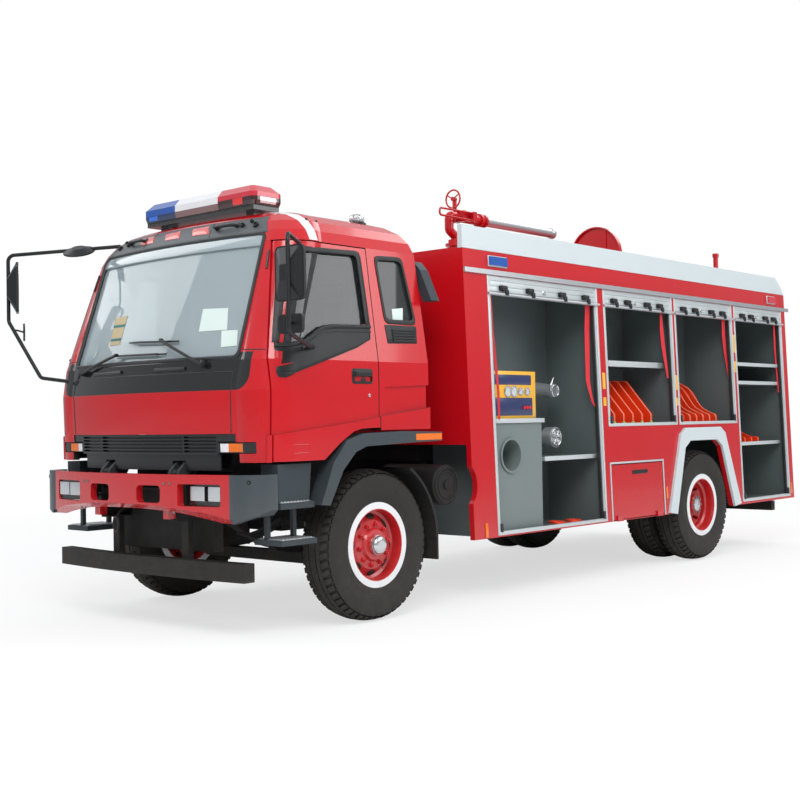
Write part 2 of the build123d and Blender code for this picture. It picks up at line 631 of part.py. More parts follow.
# Pump cabinet with a round hatch, the gauge panel on it and the hose outlets on the bay's back
CABINET_FACE = 1150
OUTLET_R = 88
with BuildPart() as pump_cabinets:
    block(700, CABINET_FACE, -1400, CABINET_REAR, BAY_FOOT + 0.5, CABINET_TOP - 30)
    block(690, CABINET_FACE + 12, -1405, CABINET_REAR + 25, CABINET_TOP - 30, CABINET_TOP)
    rod_x(CABINET_FACE - 10, CABINET_FACE + 14, -1115, 1098, 140)
    rod_x(CABINET_FACE - 240, CABINET_FACE + 20, -1115, 1098, 122, mode=Mode.SUBTRACT)
    block(1050, 1115, -1330, -720, CABINET_TOP - 1, 1762)
    rod_x(BAY_BACK + 0.5, 870, -205, 1220, 60)
    rod_x(870, 960, -205, 1220, OUTLET_R)
    with BuildSketch(Plane(origin=(BAY_BACK + 0.5, -205, 1655), z_dir=(1, 0, 0))) as horn_foot:
        Circle(62)
    with BuildSketch(Plane(origin=(930, -205, 1620), z_dir=(1, 0, -0.12))) as horn_mouth:
        Circle(50)
    loft([horn_foot.sketch.faces()[0], horn_mouth.sketch.faces()[0]])
    rod_x(920, 955, -205, 1619, 60)
    rod_x(900, 960, -205, 1619, 40, mode=Mode.SUBTRACT)
    mirror(about=Plane.YZ)
write(pump_cabinets, "pump_cabinets")

# Drop doors under the second bays
DOOR_PLAY = 7
LOCKER_PIN_X = 1255
HINGE_Y0, HINGE_Y1, HINGE_Z, LOCKER_TOP = DROP_DOOR
with BuildPart() as drop_door:
    with BuildSketch(SIDE_PLANE):
        rect_on_side(HINGE_Y0 + DOOR_PLAY, HINGE_Y1 - DOOR_PLAY, HINGE_Z + DOOR_PLAY, LOCKER_TOP - DOOR_PLAY)
    extrude(amount=-28)
    for y in (330, 1010):
        rod_y(LOCKER_PIN_X, y - 45, y + 45, HINGE_Z, 9)
        block(LOCKER_PIN_X - 14, LOCKER_PIN_X + 4, y - 45, y + 45, HINGE_Z + 2, HINGE_Z + 40)
write_pair(drop_door, "drop_door")

# Water tank between the lockers, on bearers across the rails
with BuildPart() as water_tank:
    block(-BAY_BACK + LINING + 1, BAY_BACK - LINING - 1, BODY_FRONT + 60, BODY_REAR - 60, 1070, BAY_TOP)
    for y in (-1500, -500, 500, 2800, 3700):
        block(-600, 600, y - 40, y + 40, RAIL_TOP + 0.5, 1070)
write(water_tank, "water_tank")

# Roof deck with the filler neck and the monitor's foot
with BuildPart() as roof_deck:
    half = body_half(BOARD_FOOT) - SIDE_WALL - 1
    block(-half, half, BODY_FRONT + 41, BODY_REAR - 41, BAY_TOP + 1, DECK_TOP)
    rod_z(0, LID_Y - LID_REACH, DECK_TOP, NECK_TOP, NECK_R)
    rod_z(0, LID_Y - LID_REACH, BAY_TOP, NECK_TOP + 1, NECK_BORE, mode=Mode.SUBTRACT)
    rod_z(0, MONITOR_Y, DECK_TOP, DECK_TOP + 20, 130)
    rod_z(0, MONITOR_Y, DECK_TOP, FLANGE_TOP, 58)
    rod_z(0, MONITOR_Y, FLANGE_TOP - 25, FLANGE_TOP, 92)
    rod_z(620, 3420, DECK_TOP, 3130, 26)
    rod_z(620, 3420, 3110, 3150, 34)
    for side in (-1, 1):
        block(side * 150 - 20, side * 150 + 20, LID_Y - 40, LID_Y + 30, DECK_TOP, LID_HINGE_Z + 22)
        rod_x(side * 150 - 20, side * 150 + 20, LID_Y, LID_HINGE_Z, 10.3, mode=Mode.SUBTRACT)
write(roof_deck, "roof_deck")

# Boards along both sides of the roof, cut away at the rear
with BuildPart() as roof_boards:
    prism_x([(BODY_FRONT, BOARD_FOOT + 0.5), (BODY_REAR - 11, BOARD_FOOT + 0.5), (BODY_REAR - 60, 2760),
             (3710, BOARD_TOP), (BODY_FRONT, BOARD_TOP)], -1300, 1300)
    low = body_half(BOARD_FOOT)
    high = body_half(BOARD_TOP)
    prism_y([(-low, BOARD_FOOT), (low, BOARD_FOOT), (high, BOARD_TOP + 1), (-high, BOARD_TOP + 1)],
            BODY_FRONT - 1, BODY_REAR + 1, mode=Mode.INTERSECT)
    block(-low + 46, low - 46, BODY_FRONT - 50, BODY_REAR + 50, BOARD_FOOT - 20, BOARD_TOP + 20, mode=Mode.SUBTRACT)
write(roof_boards, "roof_boards")

# Drip rails above the bays
with BuildPart() as drip_rails:
    with BuildSketch(SIDE_PLANE.offset(0.5)):
        rect_on_side(BODY_FRONT, TAIL, RAIL_LINE, 2538)
    extrude(amount=16)
    mirror(about=Plane.YZ)
write(drip_rails, "drip_rails")

# Lamps of the body: blue beacons in front, red behind, amber markers below, tail lamps
with BuildPart() as body_lamps:
    with BuildSketch(SIDE_PLANE.offset(0.5)):
        rect_on_side(-1390, -1166, 2575, 2643)
        rect_on_side(3476, 3654, 2575, 2643)
    extrude(amount=22)
    block(840, 1140, BODY_REAR + 0.5, BODY_REAR + 40, 780, 900)
    mirror(about=Plane.YZ)
write(body_lamps, "body_lamps")

# Rear ladder on the right, up to the roof
with BuildPart() as rear_ladder:
    for x in (-1010, -660):
        block(x - 20, x + 20, BODY_REAR + 30, BODY_REAR + 60, 980, 2860)
        for z in (1060, 1800, 2560):
            block(x - 15, x + 15, BODY_REAR + 0.5, BODY_REAR + 31, z - 20, z + 20)
    for i in range(7):
        rod_x(-1010, -660, BODY_REAR + 45, 1080 + i * 270, 14)
write(rear_ladder, "rear_ladder")

# Monitor: a turning S-shaped pipe with its fork and hand wheel, and the barrel that tips in the fork
PIPE_R = 40
with BuildPart() as monitor_turret:
    rod_z(0, MONITOR_Y, FLANGE_TOP + 0.5, 3000, 66)
    bent_rod([(0, MONITOR_Y, 2990), (0, MONITOR_Y, 3030), (0, MONITOR_Y - 88, 3080), (0, MONITOR_Y - 88, TIP_Z),
              (0, TIP_Y - 80, TIP_Z)], PIPE_R, 32)
    block(-82, 82, TIP_Y - 112, TIP_Y - 76, TIP_Z - 50, TIP_Z + 50)
    for side in (-1, 1):
        block(side * 72 - 10, side * 72 + 10, TIP_Y - 100, TIP_Y, TIP_Z - 40, TIP_Z + 40)
        rod_x(side * 72 - 10, side * 72 + 10, TIP_Y, TIP_Z, 40)
    rod_x(-120, 120, TIP_Y, TIP_Z, 20.3, mode=Mode.SUBTRACT)
    rod_z(0, MONITOR_Y, TIP_Z, 3366, 16)
    rod_y(0, MONITOR_Y - 36, MONITOR_Y + 8, 3366, 20)
    with Locations(Location((0, MONITOR_Y - 27, 3366), (90, 0, 0))):
        Torus(80, 8)
    for turn in (30, 150, 270):
        with Locations(Location((0, MONITOR_Y - 27, 3366), (0, -turn, 0))):
            with Locations(Location((40, 0, 0), (0, 90, 0))):
                Cylinder(6, 80)
write(monitor_turret, "monitor_turret")

HANDLE_X = 118
with BuildPart() as monitor_barrel:
    rod_x(-94, HANDLE_X, TIP_Y, TIP_Z, 20)
    rod_y(0, TIP_Y - 40, 20, TIP_Z, 46)
    rod_y(0, 0, 34, TIP_Z, 62)
    rod_y(0, 34, 62, TIP_Z, 50)
    rod_y(0, 62, 92, TIP_Z, 60)
    rod_y(0, 92, 1180, TIP_Z, 44)
    rod_y(0, 1160, 1200, TIP_Z, 52)
    rod_y(0, 1100, 1210, TIP_Z, 34, mode=Mode.SUBTRACT)
    block(HANDLE_X - 16, HANDLE_X + 10, TIP_Y - 26, TIP_Y + 26, TIP_Z - 48, TIP_Z + 40)
    bent_rod([(HANDLE_X, TIP_Y, TIP_Z + 28), (HANDLE_X, TIP_Y - 490, TIP_Z + 24),
              (HANDLE_X, TIP_Y - 490, TIP_Z - 38), (HANDLE_X, TIP_Y, TIP_Z - 40)], 9, 24)
write(monitor_barrel, "monitor_barrel")

# Tank lid, standing open: a dished disc with a rim and a strap
with BuildPart() as tank_lid:
    rod_y(0, LID_Y - 1, LID_Y + 23, LID_HINGE_Z + LID_REACH, LID_R)
    rod_y(0, LID_Y - 26, LID_Y, LID_HINGE_Z + LID_REACH, LID_R)
    rod_y(0, LID_Y - 30, LID_Y - 1, LID_HINGE_Z + LID_REACH, LID_R - 14, mode=Mode.SUBTRACT)
    block(80, 130, LID_Y - 12, LID_Y, LID_HINGE_Z + LID_REACH - 268, LID_HINGE_Z + LID_REACH + 268)
    rod_x(-125, 125, LID_Y, LID_HINGE_Z, 22)
    block(-60, 60, LID_Y - 1, LID_Y + 22, LID_HINGE_Z, LID_HINGE_Z + 80)
    for side in (-1, 1):
        rod_x(side * 150 - 30, side * 150 + 30, LID_Y, LID_HINGE_Z, 10)
write(tank_lid, "tank_lid")

# Cab: one outer form, given by outlines from the sill to the crown, and the same form set in for its space

CAB_STATIONS = [
    # height, front middle, bow end (x, y), corner middle (x, y), side start (x, y), back
    (1050, -3830, (930, -3722), (1122, -3664), (1196, -3470), CAB_BACK + 6),
    (BAND_Z, -3850, (918, -3746), (1124, -3680), (1204, -3480), CAB_BACK),
    (WINDSCREEN_FOOT, -3815, (932, -3708), (1122, -3650), (1202, -3460), CAB_BACK),
    (DRIP_Z, -3537, (905, -3449), (1024, -3392), (1092, -3120), CAB_BACK - 10),
    (2670, -3495, (884, -3410), (992, -3357), (1058, -3095), CAB_BACK - 32),
    (2740, -3440, (848, -3357), (938, -3308), (1000, -3060), CAB_BACK - 72),
    (2792, -3374, (788, -3298), (864, -3254), (914, -3030), CAB_BACK - 132),
    (2826, -3290, (700, -3228), (764, -3190), (800, -2990), CAB_BACK - 215),
]


def cab_outline(station, inset, height):
    """Close one outline of the cab, set in from the outside."""
    z, front, bow, corner, side, back = station
    turn = 0.707 * inset
    bow_x, bow_y = bow[0] - 0.25 * inset, bow[1] + inset
    mid_x, mid_y = corner[0] - turn, corner[1] + turn
    side_x, side_y = side[0] - inset, side[1] + 0.25 * inset
    with BuildSketch(Plane.XY.offset(height)) as outline:
        with BuildLine():
            ThreePointArc((-bow_x, bow_y), (0, front + inset), (bow_x, bow_y))
            ThreePointArc((bow_x, bow_y), (mid_x, mid_y), (side_x, side_y))
            Line((side_x, side_y), (side_x, back - inset))
            Line((side_x, back - inset), (-side_x, back - inset))
            Line((-side_x, back - inset), (-side_x, side_y))
            ThreePointArc((-side_x, side_y), (-mid_x, mid_y), (-bow_x, bow_y))
        make_face()
    return outline.sketch


def cab_form(inset):
    """The cab's closed form, set in by a distance on every side but the bottom."""
    drops = [share * inset for share in (0, 0, 0, 0, 0.2, 0.5, 0.8, 1)]
    outlines = [cab_outline(s, inset, s[0] - drop) for s, drop in zip(CAB_STATIONS, drops)]
    with BuildPart() as form:
        loft([outline.faces()[0] for outline in outlines], ruled=True)
    return form.part


outer_form = cab_form(0)
inner_form = cab_form(CAB_WALL)


# The cab's lower sides stand proud below a crease that rises to the rear, up to a recess behind the door
CREASE = [(DOOR_FRONT - 20, 1305), (-3399, 1337), (-2919, 1384), (-2652, 1420), (-2120, 1483)]
BULGE = 16
with BuildPart() as lower_sides:
    add(cab_form(-BULGE))
    prism_x(CREASE + [(-2120, 1050), (DOOR_FRONT - 20, 1050)], -1400, 1400, mode=Mode.INTERSECT)
    block(-1000, 1000, -4000, -2000, 1000, 1600, mode=Mode.SUBTRACT)
    block(-1400, 1400, CAB_BACK, -2000, 1000, 1600, mode=Mode.SUBTRACT)
    add(inner_form, mode=Mode.SUBTRACT)

with BuildPart() as side_recess:
    add(cab_form(-5))
    add(cab_form(14), mode=Mode.SUBTRACT)
    prism_x([(-2630, 1424), (-2630, 1620), (-2100, 1640), (-2100, 1486)], -1400, 1400, mode=Mode.INTERSECT)
    block(-1000, 1000, -4000, -2000, 1000, 1700, mode=Mode.SUBTRACT)


def add_cab_wall():
    """Start a panel as the whole of the cab's wall."""
    add(outer_form)
    add(lower_sides.part)
    add(inner_form, mode=Mode.SUBTRACT)
    add(side_recess.part, mode=Mode.SUBTRACT)


def windscreen_cut(inset, y0, y1, mode):
    """The windscreen's opening, seen from the front."""
    prism_y([(-905 + inset, 1812 + inset), (905 - inset, 1812 + inset), (878 - inset, 2572 - inset),
             (-878 + inset, 2572 - inset)], y0, y1, mode=mode)


QUARTER_WINDOW = [(-2605, 2530), (-2335, 2540), (-2262, 2085), (-2570, 2085)]
DOOR_WINDOW = [(-3385, 2510), (-2775, 2530), (-2745, 2060), (-3060, 2000), (-3330, 1790), (-3585, 1760)]
REAR_WINDOW = [(-420, 2050), (420, 2050), (420, 2430), (-420, 2430)]


def set_in(points, distance):
    """An outline shrunk towards its middle by about a distance."""
    mid_a = sum(a for a, b in points) / len(points)
    mid_b = sum(b for a, b in points) / len(points)
    return [(a - distance * (1 if a > mid_a else -1), b - distance * (1 if b > mid_b else -1)) for a, b in points]


with BuildPart() as front_region:
    prism_x([(-4000, SILL_Z), (DOOR_FRONT, SILL_Z), (DOOR_FRONT, WINDSCREEN_FOOT), (DOOR_TOP_FRONT, DRIP_Z),
             (-4000, DRIP_Z)], -1400, 1400)
    block(-PILLAR_X, PILLAR_X, -4000, -3300, SILL_Z, DRIP_Z)

with BuildPart() as cab_front:
    add_cab_wall()
    add(front_region.part, mode=Mode.INTERSECT)
    windscreen_cut(0, -4000, -3000, Mode.SUBTRACT)
    block(-930, 930, -4000, -3600, SILL_Z - 1, 1190, mode=Mode.SUBTRACT)
    block(-1068, 1068, -4000, -3600, 1190, 1264, mode=Mode.SUBTRACT)
    block(-905, 905, -4000, -3600, 1264, GRILLE_TOP, mode=Mode.SUBTRACT)
write(cab_front, "cab_front")

with BuildPart() as cab_rear:
    add_cab_wall()
    block(-1400, 1400, DOOR_REAR, -2000, SILL_Z + 190, DRIP_Z, mode=Mode.INTERSECT)
    prism_x(QUARTER_WINDOW, -1400, 1400, mode=Mode.SUBTRACT)
    prism_y(REAR_WINDOW, -2400, -2000, mode=Mode.SUBTRACT)
write(cab_rear, "cab_rear")

with BuildPart() as cab_roof:
    add_cab_wall()
    block(-1400, 1400, -4000, -2000, DRIP_Z + 0.5, 2900, mode=Mode.INTERSECT)
write(cab_roof, "cab_roof")

# Floor with the engine tunnel and the lugs of the tilt pivot
LUG = [(-3812, 1022), (-3780, 1022), (-3672, 1150), (-3640, FLOOR_Z + 1), (-3715, FLOOR_Z + 1), (-3722, 1180),
       (-3830, 1075)]
with BuildPart() as cab_floor:
    add(cab_form(CAB_WALL + 12))
    block(-1400, 1400, -3740, -2000, FLOOR_Z, FLOOR_TOP, mode=Mode.INTERSECT)
    block(-430, 430, -3420, -2000, FLOOR_Z - 10, FLOOR_TOP + 10, mode=Mode.SUBTRACT)
    block(-460, 460, -3450, CAB_BACK - CAB_WALL - 14, FLOOR_Z, TUNNEL_TOP)
    block(-430, 430, -3420, -2000, FLOOR_Z - 10, TUNNEL_TOP - 30, mode=Mode.SUBTRACT)
    for side in (-1, 1):
        rod_z(side * 1206, DOOR_FRONT + 5, FLOOR_Z - 1, FLOOR_TOP + 1, 150, mode=Mode.SUBTRACT)
    for side in (-1, 1):
        for x in (side * 385 - 58, side * 385 + 30):
            prism_x(LUG, x, x + 28)
            rod_x(x, x + 28, TILT_Y, TILT_Z, 36)
        rod_x(side * 385 - 58, side * 385 + 58, TILT_Y, TILT_Z, 20)
write(cab_floor, "cab_floor")

with BuildPart() as glass_sheet:
    add(cab_form(14))
    add(cab_form(20), mode=Mode.SUBTRACT)

with BuildPart() as glass_openings:
    windscreen_cut(1, -4000, -3000, Mode.ADD)
    prism_x(set_in(QUARTER_WINDOW, 1), -1400, 1400)
    prism_y(set_in(REAR_WINDOW, 1), -2400, -2000)

with BuildPart() as cab_glass:
    add(glass_sheet.part)
    add(glass_openings.part, mode=Mode.INTERSECT)
write(cab_glass, "cab_glass")

with BuildPart() as cab_door:
    add_cab_wall()
    prism_x([(DOOR_FRONT + DOOR_GAP, SILL_Z + 4), (-3240, SILL_Z + 4), (-3090, 1245), (-2960, 1318), (-2880, 1336),
             (DOOR_REAR - DOOR_GAP, 1340), (DOOR_REAR - DOOR_GAP, DRIP_Z - DOOR_GAP),
             (DOOR_TOP_FRONT + DOOR_GAP, DRIP_Z - DOOR_GAP), (DOOR_FRONT + DOOR_GAP, WINDSCREEN_FOOT)],
            PILLAR_X + DOOR_GAP, 1400, mode=Mode.INTERSECT)
    prism_x(DOOR_WINDOW, 600, 1400, mode=Mode.SUBTRACT)
write_pair(cab_door, "cab_door")

with BuildPart() as door_glass:
    add(cab_form(20))
    add(cab_form(26), mode=Mode.SUBTRACT)
    prism_x(set_in(DOOR_WINDOW, 1), PILLAR_X + DOOR_GAP, 1400, mode=Mode.INTERSECT)
write_pair(door_glass, "door_glass")

# Grille: a bowed black panel with slats, and the lamps at its corners
LAMP_INNER_X = 757
with BuildPart() as grille_region:
    block(-LAMP_INNER_X + 2, LAMP_INNER_X - 2, -4000, -3600, 1182, GRILLE_TOP - 1)
    block(-903, 903, -4000, -3600, 1268, GRILLE_TOP - 1)
    for side in (-1, 1):
        block(side * 910 - 154, side * 910 + 154, -4000, DOOR_FRONT - 4, 1194, 1260)

with BuildPart() as grille_backing:
    add(cab_form(30))
    add(cab_form(42), mode=Mode.SUBTRACT)
    block(-748, 748, -4000, -3600, 1078, GRILLE_TOP - 2, mode=Mode.INTERSECT)
    for side in (-1, 1):
        block(side * 385 - 64, side * 385 + 64, -4000, -3600, 1050, 1142, mode=Mode.SUBTRACT)

with BuildPart() as grille:
    add(cab_form(6))
    add(cab_form(40), mode=Mode.SUBTRACT)
    add(grille_region.part, mode=Mode.INTERSECT)
    for i in range(5):
        z = 1198 + i * 23
        for x0, x1 in ((-742, -462), (-450, 450), (462, 742)):
            block(x0, x1, -3900, -3600, z, z + 14, mode=Mode.SUBTRACT)
    add(grille_backing.part)
write(grille, "grille")

# Light bar on the roof: base with feet, lenses with bevelled ends
BAR_Y = -3160
BAR_HALF = 620
BAR_DEEP = 139
with BuildPart() as light_bar:
    block(-BAR_HALF + 25, BAR_HALF - 25, BAR_Y - BAR_DEEP + 20, BAR_Y + BAR_DEEP - 20, 2862, 2896)
    for side in (-1, 1):
        block(side * 480 - 40, side * 480 + 40, BAR_Y - 50, BAR_Y + 50, 2826.5, 2864)
    with BuildSketch(Plane.XY.offset(2896)) as lens_foot:
        with Locations((0, BAR_Y)):
            RectangleRounded(2 * BAR_HALF - 24, 2 * BAR_DEEP - 16, 40)
    with BuildSketch(Plane.XY.offset(2925)) as lens_low:
        with Locations((0, BAR_Y)):
            RectangleRounded(2 * BAR_HALF, 2 * BAR_DEEP, 45)
    with BuildSketch(Plane.XY.offset(2985)) as lens_high:
        with Locations((0, BAR_Y)):
            RectangleRounded(2 * BAR_HALF, 2 * BAR_DEEP, 45)
    with BuildSketch(Plane.XY.offset(3035)) as lens_crown:
        with Locations((0, BAR_Y)):
            RectangleRounded(2 * BAR_HALF - 110, 2 * BAR_DEEP - 90, 30)
    loft([outline.sketch.faces()[0] for outline in (lens_foot, lens_low, lens_high, lens_crown)], ruled=True)
write(light_bar, "light_bar")

# Air intake behind the cab's left rear corner: a duct whose head hooks over and opens downward
with BuildPart() as snorkel:
    prism_y([(800, 1450), (800, 2400), (850, 2500), (950, 2560), (1071, 2545), (1129, 2482), (1236, 2250),
             (1153, 2246), (1085, 2410), (1030, 2445), (960, 2430), (925, 2370), (925, 1450)],
            CAB_BACK + 10, CAB_BACK + 100)
    block(840, 890, CAB_BACK + 0.5, CAB_BACK + 11, 1600, 1640)
write(snorkel, "snorkel")

# Flares over the front wheels, with the lamp at the rear end
FLARE_TOP = [(-3297, 843), (-3180, 1113), (-3045, 1262), (-2888, 1303), (-2478, 1312), (-2060, 1300)]
FLARE_LOW = [(-2060, 1236), (-2427, 1228), (-2860, 1215), (-2965, 1178), (-3087, 1063), (-3215, 836)]
with BuildPart() as arch_flares:
    prism_x(FLARE_TOP + FLARE_LOW, 1110, 1235)
    mirror(about=Plane.YZ)
write(arch_flares, "arch_flares")

# Seats and dashboard
with BuildPart() as seats:
    for x, width in ((-720, 460), (720, 460), (0, 360)):
        foot = TUNNEL_TOP + 0.5 if x == 0 else FLOOR_TOP + 0.5
        block(x - width / 2, x + width / 2, -3000, -2560, foot, 1640)
        block(x - width / 2, x + width / 2, -2660, -2540, 1600, 2300)
write(seats, "seats")

with BuildPart() as dashboard:
    add(cab_form(CAB_WALL + 10))
    prism_x([(-3800, TUNNEL_TOP + 1), (-3800, 1760), (-3480, 1790), (-3400, 1700), (-3400, TUNNEL_TOP + 1)], -1000, 1000,
            mode=Mode.INTERSECT)
    with Locations(Location((620, -3250, 1850), (-60, 0, 0))):
        Torus(210, 16)
    rod_x(420, 820, -3250, 1850, 14)
    with BuildSketch(Plane(origin=(620, -3250, 1850), z_dir=(0, -1, -0.6))):
        Circle(28)
    extrude(amount=230)
write(dashboard, "dashboard")

# Mirrors: a bent tube with its end on the cab, and heads with domed backs on its upright
STAY_R = 14
OUTER_X = MIRROR_REACH - STAY_R
TURNED = Vector(-0.52, -0.854, 0)


def head_plane(x, y, z, out):
    """A plane on a mirror's glass, facing along its back's direction."""
    return Plane(origin=(x, y, z), x_dir=Vector(0, 0, 1).cross(out), z_dir=out)


with BuildPart() as mirror_right:
    bent_rod([(-840, -3350, 2745), (-OUTER_X, -3880, 2698), (-OUTER_X, -3880, 2190), (-1237, -3800, 1750),
              (-990, -3690, 1713)], STAY_R, 50)
    slab(head_plane(-1450, -3850, 2443, TURNED), 230, 380, 40, 20)
    slab(head_plane(-1460, -3867, 2443, TURNED), 215, 365, 36, 62, back=0.4)
    slab(head_plane(-1430, -3812, 2105, TURNED), 120, 130, 20, 14)
    bent_rod([(-1500, -3868, 2125), (-1470, -3850, 2120), (-1430, -3815, 2105)], 7, 8)
    slab(head_plane(-1075, -3560, 2705, Vector(0.25, -0.35, 0.9)), 236, 236, 116, 12)
    slab(head_plane(-1072, -3564, 2716, Vector(0.25, -0.35, 0.9)), 220, 220, 108, 26, back=0.45)
    add(outer_form, mode=Mode.SUBTRACT)
write(mirror_right, "mirror_right")

with BuildPart() as mirror_left:
    bent_rod([(1040, -3260, 2570), (1470, -3790, 2545), (1484, -3800, 1932), (1300, -3450, 1872),
              (1190, -3310, 1875)], STAY_R, 50)
    slab(head_plane(1430, -3722, 2306, Vector(0, -1, 0)), 260, 344, 40, 20)
    slab(head_plane(1430, -3741, 2306, Vector(0, -1, 0)), 244, 328, 36, 50, back=0.3)
    slab(head_plane(1400, -3690, 1996, Vector(0, -1, 0)), 214, 118, 24, 22)
    bent_rod([(1484, -3800, 2010), (1440, -3740, 2000), (1400, -3700, 1996)], 8, 10)
    add(outer_form, mode=Mode.SUBTRACT)
write(mirror_left, "mirror_left")
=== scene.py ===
# Looks of the fire truck: finishes for its solids, and the fine pieces on them.
# Metres. X points to the truck's left, Y to its rear, Z up.
from math import atan, cos, pi, radians, sin, sqrt

import bpy
from mathutils import Matrix, Vector


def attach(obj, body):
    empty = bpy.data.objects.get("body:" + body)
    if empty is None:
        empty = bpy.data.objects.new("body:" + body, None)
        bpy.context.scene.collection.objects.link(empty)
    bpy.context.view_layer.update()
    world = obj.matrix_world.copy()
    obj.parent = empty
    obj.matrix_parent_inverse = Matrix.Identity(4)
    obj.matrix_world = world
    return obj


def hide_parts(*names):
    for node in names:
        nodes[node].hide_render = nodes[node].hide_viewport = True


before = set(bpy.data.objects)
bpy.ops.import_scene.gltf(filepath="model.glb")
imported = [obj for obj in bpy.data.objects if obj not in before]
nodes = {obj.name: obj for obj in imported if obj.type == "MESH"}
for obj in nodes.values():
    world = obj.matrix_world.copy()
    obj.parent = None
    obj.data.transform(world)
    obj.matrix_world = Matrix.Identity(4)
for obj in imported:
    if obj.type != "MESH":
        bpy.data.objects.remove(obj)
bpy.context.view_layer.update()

# Directions a face can look
OUT = (1, 0, 0)
UP = (0, 0, 1)

# Running gear
FRONT_AXLE_Y = -2.670
REAR_AXLE_Y = 1.880
FRONT_WHEEL_X = 1.030
REAR_OUTER_X = 1.096
REAR_INNER_X = 0.784
TYRE_R = 0.527

# Bodies that come in pairs, left and right
DOORS = ("door_left", "door_right")
LOCKER_DOORS = ("locker_door_left", "locker_door_right")
FRONT_WHEELS = ("front_wheel_left", "front_wheel_right")
REAR_WHEELS = ("rear_wheels_left", "rear_wheels_right")


def turn_to(facing):
    """The turn that makes up look another way."""
    return facing.to_track_quat("Z", "Y").to_matrix().to_4x4()


def turn_from(across, up, out):
    """The turn that gives a piece these three directions."""
    return Matrix((across, up, out)).transposed().to_4x4()


# Camera, at the photograph's viewing angle

CAMERA_PLACE = Vector((6.9722, -8.9871, 1.388))
CAMERA_TURN = radians(41.5447)
CAMERA_PITCH = radians(0.9351)
CAMERA_ROLL = radians(-0.9301)
CAMERA_LENS = 55.685


def add_camera():
    """The camera, from its turn about the vertical, its pitch and its roll."""
    forward = Vector((-sin(CAMERA_TURN) * cos(CAMERA_PITCH), cos(CAMERA_TURN) * cos(CAMERA_PITCH), sin(CAMERA_PITCH)))
    level = Vector((cos(CAMERA_TURN), sin(CAMERA_TURN), 0))
    upright = level.cross(forward)
    right = level * cos(CAMERA_ROLL) + upright * sin(CAMERA_ROLL)
    up = upright * cos(CAMERA_ROLL) - level * sin(CAMERA_ROLL)
    bpy.ops.object.camera_add(location=CAMERA_PLACE)
    camera = bpy.context.object
    camera.matrix_world = Matrix.Translation(CAMERA_PLACE) @ turn_from(right, up, -forward)
    camera.data.lens = CAMERA_LENS
    camera.data.sensor_width = 36
    camera.data.clip_end = 200
    bpy.context.scene.camera = camera


# Shader groups, each used by several finishes


COLOUR = "NodeSocketColor"
VALUE = "NodeSocketFloat"


def start_group(name, inputs, outputs):
    """A node group with its sockets, and its input and output nodes."""
    group = bpy.data.node_groups.new(name, "ShaderNodeTree")
    for label, kind, value in inputs:
        socket = group.interface.new_socket(name=label, in_out="INPUT", socket_type=kind)
        socket.default_value = value
    for label, kind in outputs:
        group.interface.new_socket(name=label, in_out="OUTPUT", socket_type=kind)
    return group, group.nodes.new("NodeGroupInput"), group.nodes.new("NodeGroupOutput")


def feed(tree, socket, value):
    """Give a socket a number or a colour, or link an output to it."""
    if isinstance(value, bpy.types.NodeSocket):
        tree.links.new(value, socket)
    elif value is not None:
        socket.default_value = (*value, 1) if isinstance(value, tuple) else value


def set_inputs(node, **values):
    """Give a node's inputs their values. An underscore in a name stands for a space."""
    for label, value in values.items():
        node.inputs[label.replace("_", " ")].default_value = value


def math_node(tree, operation, first, second=None, third=None, clamp=False):
    """A Math node whose inputs are sockets or numbers."""
    node = tree.nodes.new("ShaderNodeMath")
    node.operation = operation
    node.use_clamp = clamp
    for socket, value in zip(node.inputs, (first, second, third)):
        feed(tree, socket, value)
    return node.outputs[0]


def vector_node(tree, operation, first, second):
    """A Vector Math node that joins two vectors."""
    node = tree.nodes.new("ShaderNodeVectorMath")
    node.operation = operation
    for socket, value in zip(node.inputs, (first, second)):
        feed(tree, socket, value)
    return node.outputs["Value" if operation == "DOT_PRODUCT" else "Vector"]


def length_of(tree, first, second):
    """The length of a flat vector from its two parts."""
    squares = [math_node(tree, "MULTIPLY", part, part) for part in (first, second)]
    return math_node(tree, "SQRT", math_node(tree, "ADD", *squares))


def mix_colour(tree, factor, first, second):
    """A mix of two colours by a mask."""
    node = tree.nodes.new("ShaderNodeMix")
    node.data_type = "RGBA"
    for index, value in ((0, factor), (6, first), (7, second)):
        feed(tree, node.inputs[index], value)
    return node.outputs[2]


def mix_value(tree, factor, first, second):
    """A mix of two numbers by a mask."""
    node = tree.nodes.new("ShaderNodeMix")
    for index, value in ((0, factor), (2, first), (3, second)):
        feed(tree, node.inputs[index], value)
    return node.outputs[0]


def object_axes(tree):
    """Object coordinates, whole and as three numbers."""
    place = tree.nodes.new("ShaderNodeTexCoord").outputs["Object"]
    parts = tree.nodes.new("ShaderNodeSeparateXYZ")
    tree.links.new(place, parts.inputs[0])
    return place, parts.outputs


def noise(tree, place, scale, detail=3.0, roughness=0.5):
    """A noise texture's value."""
    node = tree.nodes.new("ShaderNodeTexNoise")
    set_inputs(node, Detail=detail, Roughness=roughness)
    feed(tree, node.inputs["Vector"], place)
    feed(tree, node.inputs["Scale"], scale)
    return node.outputs["Fac"]


